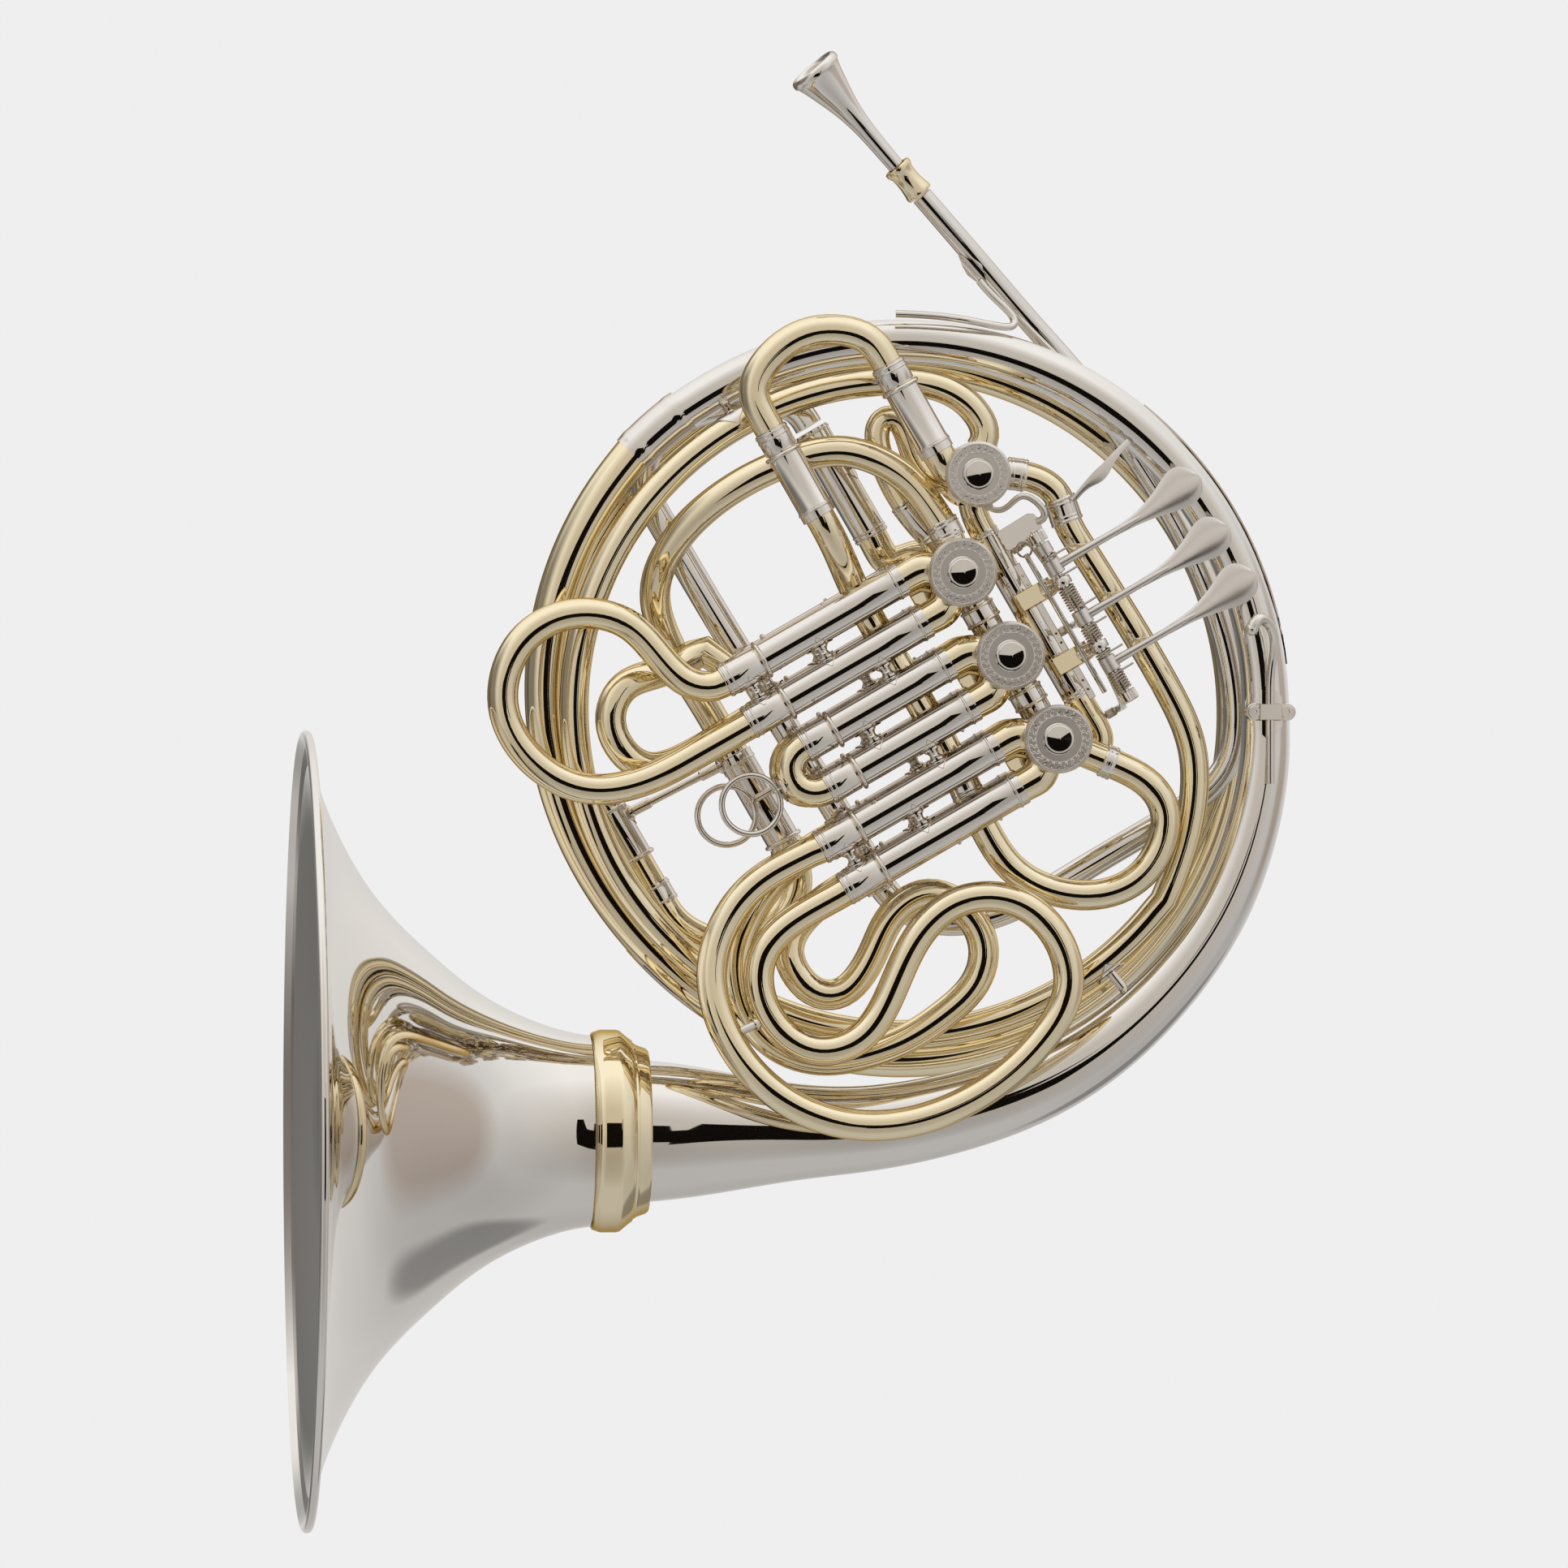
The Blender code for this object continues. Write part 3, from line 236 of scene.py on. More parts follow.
class Shape:
    """Solids gathered for one piece."""

    def __init__(self):
        self.spots = []
        self.faces = []

    def add(self, spots, faces):
        first = len(self.spots)
        self.spots += [Vector(spot) for spot in spots]
        self.faces += [tuple(first + k for k in face) for face in faces]
        return self

    def rings(self, rings, closed=False):
        """A skin over rings of points, any of which may be a single point, with flat ends."""
        spots = [spot for ring in rings for spot in ring]
        starts = []
        total = 0
        for ring in rings:
            starts.append(total)
            total += len(ring)
        faces = []
        pairs = list(range(len(rings) - 1)) + ([len(rings) - 1] if closed else [])
        for i in pairs:
            j = (i + 1) % len(rings)
            here, there = len(rings[i]), len(rings[j])
            count = max(here, there)
            for k in range(count):
                a = starts[i] + k % here
                b = starts[i] + (k + 1) % here
                c = starts[j] + (k + 1) % there
                d = starts[j] + k % there
                face = []
                for corner in (a, b, c, d):
                    if corner not in face:
                        face.append(corner)
                if len(face) > 2:
                    faces.append(tuple(face))
        if not closed:
            if len(rings[0]) > 2:
                faces.append(tuple(range(len(rings[0]) - 1, -1, -1)))
            if len(rings[-1]) > 2:
                faces.append(tuple(starts[-1] + k for k in range(len(rings[-1]))))
        return self.add(spots, faces)

    def tube(self, route, sides=24, closed=False):
        """A round bar along a route of (u, v, w, radius)."""
        centres = [Vector(spot[:3]) for spot in route]
        last = len(centres) - 1
        tangents = []
        for k in range(last + 1):
            if closed:
                step = centres[(k + 1) % (last + 1)] - centres[k - 1]
            else:
                step = centres[min(last, k + 1)] - centres[max(0, k - 1)]
            tangents.append(step.normalized())
        side = tangents[0].orthogonal().normalized()
        rings = []
        for centre, tangent, spot in zip(centres, tangents, route):
            side = (side - tangent * side.dot(tangent)).normalized()
            other = tangent.cross(side)
            ring = []
            for k in range(sides):
                turn = 2 * math.pi * k / sides
                ring.append(centre + (side * math.cos(turn) + other * math.sin(turn)) * spot[3])
            rings.append(ring)
        return self.rings(rings, closed)

    def turned(self, profile, at, axis, steps=48, closed=False, facets=0):
        """A turned solid: its profile of (radius, height) runs up the outside, bottom to top."""
        axis, side, other = around(axis)
        at = Vector(at)
        rings = []
        for radius, height in profile:
            if radius < 1e-6:
                rings.append([at + axis * height])
                continue
            ring = []
            for k in range(steps):
                turn = 2 * math.pi * k / steps
                ripple = radius * (1 + facets * (k % 2))
                ring.append(at + axis * height + (side * math.cos(turn) + other * math.sin(turn)) * ripple)
            rings.append(ring)
        return self.rings(rings, closed)

    def rod(self, radius, start, end, steps=20, edge=0.25):
        """A round bar with chamfered ends."""
        axis = Vector(end) - Vector(start)
        length = axis.length
        edge = min(edge, radius * 0.4, length * 0.4)
        profile = [
            (0, 0), (radius - edge, 0), (radius, edge), (radius, length - edge), (radius - edge, length),
            (0, length),
        ]
        return self.turned(profile, start, axis, steps)

    def slab(self, outline, thickness, at, x_axis, z_axis, edge=0.25):
        """A flat piece with chamfered edges: an outline, thickened both ways across z_axis."""
        at = Vector(at)
        x_axis = Vector(x_axis).normalized()
        z_axis = Vector(z_axis).normalized()
        y_axis = z_axis.cross(x_axis)
        middle = [sum(spot[k] for spot in outline) / len(outline) for k in (0, 1)]
        half = thickness / 2
        rings = []
        for height, inset in ((-half, edge), (-half + edge, 0), (half - edge, 0), (half, edge)):
            ring = []
            for x, y in outline:
                away = Vector((x - middle[0], y - middle[1]))
                away -= away.normalized() * min(inset, away.length * 0.5)
                x_at, y_at = away.x + middle[0], away.y + middle[1]
                ring.append(at + x_axis * x_at + y_axis * y_at + z_axis * height)
            rings.append(ring)
        return self.rings(rings)

    def saddle(self, at, along, out, radius, half_long, half_round, thick=0.45, steps=12):
        """A diamond-shaped flange that hugs a tube: half_round is in degrees round the tube."""
        at = Vector(at)
        along = Vector(along).normalized()
        out = Vector(out).normalized()
        side = along.cross(out)
        rings = []
        for k in range(steps + 1):
            share = -1 + 2 * k / steps
            turn = math.radians(half_round) * share
            reach = half_long * (1.02 - abs(share)) if abs(share) < 1 else half_long * 0.04
            away = out * math.cos(turn) + side * math.sin(turn)
            ring = []
            top = radius + thick
            foot = radius - 0.6
            for level, way in ((top, 1), (top, -1), (foot, -1), (foot, 1)):
                ring.append(at + away * level + along * reach * way)
            rings.append(ring)
        return self.rings(rings)

    def ribbon(self, route, thick=0.8):
        """A flat strip along a route of (u, v, w, half width), its faces across w."""
        centres = [Vector(spot[:3]) for spot in route]
        last = len(centres) - 1
        rings = []
        for k, centre in enumerate(centres):
            step = centres[min(last, k + 1)] - centres[max(0, k - 1)]
            side = step.cross(UP).normalized() * route[k][3]
            ahead = step.normalized()
            lift = (UP - ahead * ahead.z).normalized() * thick / 2
            corners = ((1, 0.4), (0.3, 1.3), (-0.5, 0.9), (-1, 0.4), (-1, -0.4), (1, -0.4))
            rings.append([centre + side * across + lift * high for across, high in corners])
        return self.rings(rings)

    def helix(self, at, axis, radius, wire, pitch, turns, sides=8):
        """A coil spring."""
        axis, side, other = around(axis)
        route = []
        for k in range(int(turns * 18) + 1):
            turn = 2 * math.pi * k / 18
            away = side * math.cos(turn) + other * math.sin(turn)
            spot = Vector(at) + axis * pitch * k / 18 + away * radius
            route.append((*spot, wire))
        return self.tube(route, sides)

    def hoop(self, at, axis, radius, wire, steps=48, sides=12):
        """A ring of round wire."""
        axis, side, other = around(axis)
        route = []
        for k in range(steps):
            turn = 2 * math.pi * k / steps
            spot = Vector(at) + (side * math.cos(turn) + other * math.sin(turn)) * radius
            route.append((*spot, wire))
        return self.tube(route, sides, closed=True)


def piece(name, shape, finish, body="horn", replaces=(), sharp=38.0):
    """One piece of the horn, riding on a body of the frame."""
    spots = [((COIL_OFFSET - v) * MM, -w * MM, (COIL_HEIGHT + u) * MM) for u, v, w in shape.spots]
    mesh = bpy.data.meshes.new(name)
    mesh.from_pydata(spots, [], shape.faces)
    mesh.validate()
    mesh.shade_smooth()
    mesh.set_sharp_from_angle(angle=math.radians(sharp))
    made = bpy.data.objects.new(name, mesh)
    bpy.context.scene.collection.objects.link(made)
    mesh.materials.append(FINISHES[finish])
    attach(made, body)
    if replaces:
        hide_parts(*replaces)
    return made


# ---------------------------------------------------------------- bell and tail

def bell():
    """The flare with its rolled rim, and the threaded ring and collar that join it to the tail."""
    centre = Vector((RIM_U, BELL_AXIS_V, 0))
    along = Vector((1, 0, 0))
    line = spline(
        flat(
            0, (152.0, 3.0), (140.0, 4.0), (120.0, 11.0), (90.0, 27.5), (69.0, 50.0), (53.5, 68.0),
            (43.0, 88.0), (38.0, 104.0), (37.2, 112.0),
        ),
    )
    outer = [(spot.x, spot.y) for spot in line]
    inner = [(radius - BELL_WALL, height - BELL_WALL * 0.3) for radius, height in outer]
    inner[-1] = (inner[-1][0], outer[-1][1])
    wire = 1.9
    turns = [math.radians(-100 + 20 * k) for k in range(14)]
    rim = [(RIM_RADIUS - wire + wire * math.cos(turn), wire + wire * math.sin(turn)) for turn in turns]
    flare = Shape().turned(rim + outer + inner[::-1], centre, along, 192, closed=True)
    piece("bell_flare_spun", flare, "spun_silver", "bell", ("bell_flare",))

    low = 112.3
    ring = [
        (34.6, low), (37.4, low), (38.3, low + 0.6), (39.3, low + 3.4), (39.4, low + 4.0), (39.4, 122.0),
        (39.1, 123.4), (36.2, 126.9), (35.4, 128.2), (34.9, 128.4), (34.6, 127.6),
    ]
    piece(
        "bell_screw_ring_turned", Shape().turned(ring, centre, along, 128, closed=True),
        "lacquered_brass", "bell_ring", ("bell_screw_ring",),
    )
    collar = [
        (29.0, 114.5), (33.8, 114.5), (34.2, 115.0), (34.2, 129.0), (33.9, 129.4), (33.4, 130.2),
        (32.2, 133.6), (31.4, 134.5), (29.0, 134.5),
    ]
    piece(
        "bell_collar_turned", Shape().turned(collar, centre, along, 128, closed=True), "lacquered_brass",
        "horn", ("bell_collar",),
    )


def tail_route():
    """The tail's route of (u, v, w, radius), from the bell's collar to the first ferrule."""
    start = RIM_U + 114.8
    throat = spline(
        (
            (start, BELL_AXIS_V, 0, 28.6), (-100.0, BELL_AXIS_V, 0, 28.2), (-75.0, -164.8, 0, 25.0),
            (-40.0, -165.0, 0, 17.8), (-5.0, -164.0, 0, 16.2), (42.5, -152.5, -1.0, 15.3),
            (76.0, -135.5, -1.5, 13.6), (104.0, -111.0, -2.5, 11.8), (126.5, -80.5, -3.5, 10.9),
            (139.5, -46.0, -4.0, 10.2), (TAIL_ROUND, -21.0, -4.6, 9.7), (TAIL_ROUND, -9.0, -5.0, 9.5),
        ),
    )
    levels = ((0, -5), (30, -5.5), (60, -6.5), (97, -7.5), (127, -9))
    top = arc([(degrees, TAIL_ROUND, w) for degrees, w in levels])
    return evened(chain([tuple(spot) for spot in throat], sized(top, 9.2, 7.8)))


def tail():
    """The tail, and the ferrule at its narrow end."""
    route = tail_route()
    piece("bell_tail_drawn", Shape().tube(route, 40), "spun_silver", "horn", ("bell_tail",))
    joint = arc(
        ((126.0, TAIL_ROUND, -9), (129, TAIL_ROUND, -9.2), (133, TAIL_ROUND, -9.4), (136.5, 143.1, -9.6)),
        0.4,
    )
    count = len(joint) - 1
    body = []
    for k, spot in enumerate(joint):
        share = k / count
        radius = 8.45
        for middle in (0.10, 0.17, 0.83, 0.90):
            radius = max(radius, 8.45 + 0.45 * max(0.0, 1 - abs(share - middle) / 0.03))
        body.append((*spot, radius))
    piece("tail_ferrule_turned", Shape().tube(body, 32), "nickel_silver", "horn", ("tail_ferrule",))


# ---------------------------------------------------------------- coils

def coils():
    """The brass coils that follow the tail round the body."""
    sweep = arc(
        (
            (135.9, 143.2, -9.6), (150, 142.0, -10), (180, 138.5, -12), (215, 133.0, -19),
            (245, 135.5, -24), (290, 139.0, -29), (330, 136.0, -34), (370, 133.5, -36), (410, 135.0, -37),
            (450, 135.5, -38), (490, 134.0, -38), (520, 133.5, -37), (545, 132.0, -36.8),
            (554, 128.0, -36.5), (557.8, 123.6, -36.5),
        ),
    )
    outer_coil = Shape().tube(evened(sized(sweep, 7.8, 5.8)), 40)
    piece("outer_coil_drawn", outer_coil, "lacquered_brass", "horn", ("outer_coil",))

    way_in = spline(
        flat(
            -2, (38.2, 91.6), (46.0, 91.0), (54.5, 89.5), (62.5, 83.0), (64.5, 72.0), (72.0, 61.0),
            (83.0, 43.5), (94.5, 25.0), (105.5, 6.0), (114.0, -11.0), (116.5, -32.0), (111.0, -57.0),
            (103.0, -75.0),
        ),
    )
    levels = (
        (-36, -2), (-50, -5), (-70, -9.5), (-100, -10.5), (-125, -10.5), (-142, -8.5), (-158, -4),
        (-175, -2), (-215, -2), (-250, -2), (-263, -2),
    )
    loop = arc([(degrees, F_COIL_ROUND, w) for degrees, w in levels])
    way_out = spline(
        flat(
            -2, (-8.0, 127.0), (5.5, 127.5), (19.5, 124.5), (30.5, 115.5), (34.5, 106.0), (31.2, 101.2),
        ),
    )
    whole = chain(way_in, loop, way_out)
    f_coil = Shape().tube(sized(whole, 5.7), 32)
    piece("f_coil_drawn", f_coil, "lacquered_brass", "horn", ("f_coil",))
    ferrules = Shape()
    for first, last in ((1.3, 11.3), (25.8, 37.8)):
        ferrules.tube(ferruled(stretch(whole, first, last), 6.35), 28)
    piece("f_coil_ferrules", ferrules, "nickel_silver")


def stretch(route, start, end):
    """The part of a route between two distances along it."""
    found = []
    travelled = 0.0
    for here, there in zip(route, route[1:]):
        if start <= travelled <= end:
            found.append(here)
        travelled += (Vector(there[:3]) - Vector(here[:3])).length
    return found


def ferruled(run, radius, rise=0.3):
    """A ferrule's skin along a run: plain in the middle with a fine bead near each end."""
    spots = [Vector(spot[:3]) for spot in run]
    fine = []
    for here, there in zip(spots, spots[1:]):
        steps = max(1, round((there - here).length / 0.3))
        fine += [here.lerp(there, k / steps) for k in range(steps)]
    fine.append(spots[-1])
    length = 0.0
    marks = [0.0]
    for here, there in zip(fine, fine[1:]):
        length += (there - here).length
        marks.append(length)
    body = []
    for spot, mark in zip(fine, marks):
        near = min(abs(mark - 0.7), abs(length - 0.7 - mark))
        inner = min(abs(mark - 2.2), abs(length - 2.2 - mark))
        swell = max(0.0, 1 - near / 0.55) + 0.6 * max(0.0, 1 - inner / 0.45)
        body.append((*spot, radius + rise * swell))
    return body


# ---------------------------------------------------------------- leadpipe and mouthpiece

BLOW = Vector((0.655, -0.749, -0.10)).normalized()
MOUTH = Vector((-1.0, 210.9, -8.6))


def leadpipe():
    """The tapered pipe from the mouthpiece, its receiver and brace, and the bow to the link sleeve."""
    route = spline(
        (
            (9.0, 199.5, -10), (17.5, 190.0, -11.2), (34.0, 171.5, -14.5), (53.0, 150.0, -21.5),
            (75.0, 126.5, -23.0), (93.5, 100.0, -22.5), (111.0, 72.5, -21), (125.0, 42.0, -20),
            (133.5, 11.5, -20), (134.5, -25.0, -20), (105.0, -44.5, -20), (76.5, -60.5, -20),
            (49.5, -78.0, -20), (18.0, -87.5, -20), (-1.5, -77.5, -20), (-8.0, -65.5, -20),
        ),
    )
    piece("leadpipe_drawn", Shape().tube(sized(route, 4.2, 5.5), 24), "silver_plate", "horn", ("leadpipe",))
    rise = spline(
        (
            (-9.4, -63.3, -20), (-13.0, -57.0, -20), (-40.0, -13.0, -20), (-70.0, 34.5, -20),
            (-92.5, 73.5, -21), (-98.0, 83.0, -23), (-100.0, 95.0, -24), (-92.0, 108.5, -24),
            (-76.0, 116.5, -24), (-60.0, 119.5, -23), (-47.0, 118.5, -18), (-39.0, 117.5, -14.5),
            (-34.8, 109.7, -14),
        ),
    )
    piece("leadpipe_bow_drawn", Shape().tube(sized(rise, 5.7), 24), "silver_plate", "horn", ("leadpipe_bow",))
    joint = Shape()
    joint.tube(ferruled(stretch(rise, 142, 152), 6.3), 24)
    meeting = spline(((-5.3, -71.2, -20), (-7.6, -66.3, -20), (-9.9, -62.3, -20), (-12.4, -58.0, -20)))
    joint.tube(ferruled(meeting, 6.2), 24)
    piece("leadpipe_ferrules", joint, "nickel_silver")

    profile = [
        (3.75, 0.0), (5.2, 0.0), (5.7, 0.4), (5.75, 1.6), (5.4, 2.4), (4.9, 3.4), (4.7, 5.5), (4.8, 8.5),
        (5.2, 11.6), (5.5, 12.8), (5.5, 13.8), (5.2, 14.3), (4.4, 14.3), (3.5, 14.2),
    ]
    piece(
        "mouthpiece_receiver_turned", Shape().turned(profile, MOUTH, BLOW, 48, closed=True),
        "lacquered_brass", "horn", ("mouthpiece_receiver",),
    )

    foot = spline(
        (
            (31.5, 166.5, -9.5), (36.0, 160.5, -9.0), (45.5, 153.5, -9), (46.0, 146.5, -6),
            (27.0, 151.0, 0.5), (11.0, 152.9, 0.8), (-2.0, 153.2, 0.5),
        ),
        1.2,
    )
    brace = Shape().tube(sized(foot, 1.5), 16)
    pad_at = Vector((31.0, 171.8, -13.6))
    brace.saddle(pad_at, Vector((0.66, -0.74, -0.1)), Vector((-0.4, -0.3, 0.85)), 4.5, 9.0, 50)
    piece("leadpipe_brace_bent", brace, "nickel_silver", "horn", ("leadpipe_brace",))


def mouthpiece():
    """The mouthpiece: rim, funnel cup, throat, backbore and shank."""
    length = 60.0
    outside = spline(
        flat(
            0, (3.1, 0.5), (3.2, 8.0), (3.4, 16.0), (3.5, 24.0), (4.0, 32.0), (5.2, 40.0), (7.4, 48.0),
            (8.9, 54.0), (10.0, 56.6),
        ),
        1.5,
    )
    outside = [(spot.x, spot.y) for spot in outside]
    rim = [(10.55, 57.0), (10.7, 57.8), (10.6, 58.9), (10.2, 59.6), (9.6, length), (9.0, 59.9), (8.5, 59.4)]
    inside = spline(
        flat(
            0, (8.35, 58.6), (7.4, 54.0), (5.6, 47.0), (3.4, 40.0), (2.0, 33.0), (1.7, 24.0), (2.1, 0.5),
        ),
        2.0,
    )
    inside = [(spot.x, spot.y) for spot in inside]
    shape = Shape().turned(outside + rim + inside, MOUTH + BLOW * 9.0, -BLOW, 64, closed=True)
    piece("mouthpiece_turned", shape, "silver_plate", "mouthpiece", ("mouthpiece",))


# ---------------------------------------------------------------- valves

def valves():
    """The four valves, and the short links between the first three."""
    for number in (1, 2, 3, "change"):
        name = f"valve_{number}" if number != "change" else "change_valve"
        centre = VALVES[number]
        high = 28.0 if number == "change" else 34.0
        low = CASING_LOW
        casing = [
            (2.6, low), (9.5, low), (10.4, low + 0.3), (11.2, low + 1.0), (CASING, low + 1.8),
            (CASING, low + 4.5), (CASING + 0.5, low + 5.0), (CASING + 0.5, low + 6.5), (CASING, low + 7.0),
            (CASING, high - 3.0), (CASING, high), (9.6, high), (9.6, low + 2.5), (2.6, low + 2.5),
        ]
        shape = Shape().turned(casing, centre, UP, 64, closed=True)
        piece(name + "_casing_turned", shape, "lacquered_brass", "horn", (name + "_casing",))
        if number in (1, 2):
            start = centre + ROW * (CASING - 0.3) + UP * 10
            beads = bead(4.2, 6.8, 7.2, 0.6) + bead(9.9, 6.8, 7.2, 0.6)
            stations = [(0, 6.2), (3.4, 6.2), *beads, (10.8, 6.2), (14.6, 6.2)]
            piece(f"link_{number}", Shape().tube(straight(start, ROW, stations), 28), "nickel_silver")
        cap(name, centre, high, 12.8 if number == "change" else 13.4, 0.24 if number == 3 else 0.17)
        rotor(name, centre, high, number)


def cap(name, centre, high, size, curl_wire):
    """A threaded cap: knurled edge, flat with a ring of small curls, and a shallow polished cone."""
    top = high + 3.2
    edge = Shape()
    ridge = [
        (CASING + 0.3, high - 2.2), (size - 0.5, high - 2.2), (size, high - 1.7), (size, high + 2.0),
        (size - 0.4, high + 2.6),
    ]
    edge.turned(
        ridge + [(size - 0.9, top), (0, top), (0, high + 0.3), (CASING + 0.3, high + 0.3)], centre, UP,
        160, closed=True, facets=-0.012,
    )
    piece(name + "_cap_turned", edge, "satin_nickel", "horn", (name + "_cap",), 30)
    cone = [
        (0, top - 0.4), (6.2, top - 0.4), (6.2, top + 0.15), (5.9, top + 0.45), (5.2, top + 0.5),
        (4.9, top + 0.75),
    ]
    cone += [(4.8 * (1 - k / 6), top + 0.95 + 0.62 * k / 6) for k in range(7)]
    piece(name + "_cap_cone", Shape().turned(cone, centre, UP, 64), "nickel_silver")
    scroll = Shape()
    rim = size - 1.35
    scroll.hoop(centre + UP * top, UP, rim, 0.16, 96, 8)
    scroll.hoop(centre + UP * top, UP, rim - 3.1, 0.14, 96, 8)
    count = 24
    middle = rim - 1.55
    for k in range(count):
        turn = 2 * math.pi * k / count
        spin = turn + math.pi / 2
        at = centre + Vector((middle * math.cos(turn), middle * math.sin(turn), top + 0.02))
        route = []
        for j in range(19):
            way = -1 + 2 * j / 18
            curl = way * math.pi * 1.45
            x = 0.62 * math.sin(curl) + 0.5 * way
            y = 0.62 * math.copysign(1 - math.cos(curl), way)
            x_at = x * math.cos(spin) - y * math.sin(spin)
            y_at = x * math.sin(spin) + y * math.cos(spin)
            spot = at + Vector((x_at, y_at, 0))
            route.append((*spot, curl_wire))
        scroll.tube(route, 6)
    piece(name + "_cap_scroll", scroll, "nickel_silver")


def rotor(name, centre, high, number):
    """The rotor's back end: spindle, stop arm with its screw, and the plug inside the casing."""
    low = CASING_LOW + 2.8
    body = "change_rotor" if number == "change" else f"rotor_{number}"
    shape = Shape()
    shape.turned(
        [(0, low - 8.2), (1.9, low - 8.2), (2.2, low - 7.9), (2.2, low), (9.3, low), (9.3, high - 2.4),
         (2.6, high - 2.0), (2.6, high - 0.6), (0, high - 0.6)],
        centre, UP, 32,
    )
    turn = ROW if number == "change" else REACH
    half = [(-3.6, 2.8), (-1.5, 4.0), (3.0, 3.6), (9.0, 2.2), (11.4, 2.1)]
    outline = [(x, -y) for x, y in half] + [(12.5, 0)] + half[::-1]
    shape.slab(outline, 2.6, centre + UP * (low - 6.6), turn, UP)
    shape.rod(1.5, centre + turn * 9.6 + UP * (low - 7.9), centre + turn * 9.6 + UP * (low - 9.3))
    piece(name + "_rotor_turned", shape, "steel", body, (name + "_rotor",))
    back = Shape()
    back.turned(
        [
            (2.6, CASING_LOW - 1.4), (6.5, CASING_LOW - 1.4), (7.4, CASING_LOW - 0.9),
            (7.6, CASING_LOW + 0.2), (2.6, CASING_LOW + 0.2),
        ],
        centre, UP, 40, closed=True,
    )
    piece(name + "_back_bearing", back, "nickel_silver")


# ---------------------------------------------------------------- valve slides

def leg(number, side, level):
    """The point on a valve slide's leg abreast of the valve."""
    return VALVES[number] + ROW * side * HALF_GAUGE + UP * level


def knuckle(number, side, level):
    """The brass elbow between the casing and a sleeve."""
    centre = VALVES[number] + UP * level
    route = spline(
        (
            centre + ROW * side * 4.6 + PULL * 7.0, centre + ROW * side * 8.2 + PULL * 10.5,
            centre + ROW * side * 9.6 + PULL * 13.5, centre + ROW * side * 9.3 + PULL * 17.0,
            centre + ROW * side * 9.3 + PULL * 21.4,
        ),
        1.0,
    )
    last = len(route) - 1
    return [(*spot, 6.35 + 0.35 * math.sin(math.pi * k / last)) for k, spot in enumerate(route)]


def brace(shape, near, far, along, radius, post=1.9):
    """A brace between two tubes: diamond flanges hugging both, and a turned post."""
    way = (far - near).normalized()
    gap = (far - near).length
    shape.saddle(near, along, way, radius, 5.6, 62)
    shape.saddle(far, along, -way, radius, 5.6, 62)
    profile = [(0, 0), (3.2, 0), (3.2, 0.7), (2.2, 1.6), (post, 2.4)]
    length = gap - 2 * radius
    whole = profile + [
        (post, length - 2.4), (2.2, length - 1.6), (3.2, length - 0.7), (3.2, length), (0, length),
    ]
    shape.turned(whole, near + way * radius, way, 20)


def sleeves(name, number, level, mouth):
    """A pair of fixed sleeves with beaded mouths, ferruled at the valve, and their brace."""
    shape = Shape()
    elbows = Shape()
    for side in (-1, 1):
        start = leg(number, side, level)
        stations = [
            (20.6, 6.3), (20.7, 6.95), (21.6, 7.0), *bead(24.2, 6.95, 7.3, 0.5), (25.2, 6.95),
            (25.5, SLEEVE),
        ]
        stations += [(mouth * 0.5, SLEEVE), *bead(mouth - 1.0, SLEEVE, BEAD, 0.95, 10), (mouth, SLEEVE)]
        stations += [(mouth + 0.02, 6.2)]
        shape.tube(straight(start, PULL, stations), 32)
        elbows.tube(knuckle(number, side, level), 28)
        for along in (mouth * 0.62, mouth * 0.4):
            nib = start + PULL * along + ROW * side * SLEEVE - UP * 1.5
            shape.turned(
                [(0, 0), (0.8, 0), (0.7, 0.7), (0.3, 1.0), (0, 1.05)], nib - ROW * side * 0.2, ROW * side,
                12,
            )
    near = leg(number, -1, level) + PULL * 61.5
    brace(shape, near, near + ROW * 2 * HALF_GAUGE, PULL, SLEEVE)
    piece(name + "_drawn", shape, "nickel_silver", "horn", (name,))
    piece(name + "_knuckles", elbows, "lacquered_brass")


def slide(name, number, level, mouth, ferrule, crook):
    """A slide: legs and crook in brass, ferrules and brace in nickel silver."""
    legs = Shape()
    ends = Shape()
    route = []
    for side in (-1, 1):
        sizes = ((24.0, SLIDE_TUBE - 0.05), (mouth - 2, SLIDE_TUBE - 0.05), (ferrule + 1, CROOK))
        run = straight(leg(number, side, level), PULL, sizes)
        route = route + run + sized(crook, CROOK) if side < 0 else chain(route, run[::-1])
        stations = [(mouth + 0.35, 6.1), (mouth + 0.4, 6.5), (mouth + 0.7, 6.72)]
        stations += bead(ferrule - 3.0, 6.72, 6.98, 0.45) + bead(ferrule - 1.0, 6.72, 6.98, 0.45)
        stations += [(ferrule, 6.72), (ferrule + 0.3, 6.1)]
        ends.tube(straight(leg(number, side, level), PULL, stations), 32)
    legs.tube(route, 28)
    middle = (mouth + ferrule) / 2 - 1.0
    if number != 2:
        near = leg(number, -1, level) + PULL * middle
        brace(ends, near, near + ROW * 2 * HALF_GAUGE, PULL, 6.7)
    piece(name + "_crook", legs, "lacquered_brass", name, (name,))
    piece(name + "_ferrules", ends, "nickel_silver", name)


def bow_end(level):
    """The far end of the second valve's slide."""
    return VALVES[2] + PULL * (BOW_START + HALF_GAUGE + CROOK) + UP * level


def half_turn(number, level, start):
    """A plain U bend between a valve slide's legs."""
    middle = VALVES[number] + PULL * start + UP * level
    turns = [math.radians(-90 + 180 * k / 32) for k in range(1, 32)]
    return [middle + ROW * HALF_GAUGE * math.sin(turn) + PULL * HALF_GAUGE * math.cos(turn) for turn in turns]


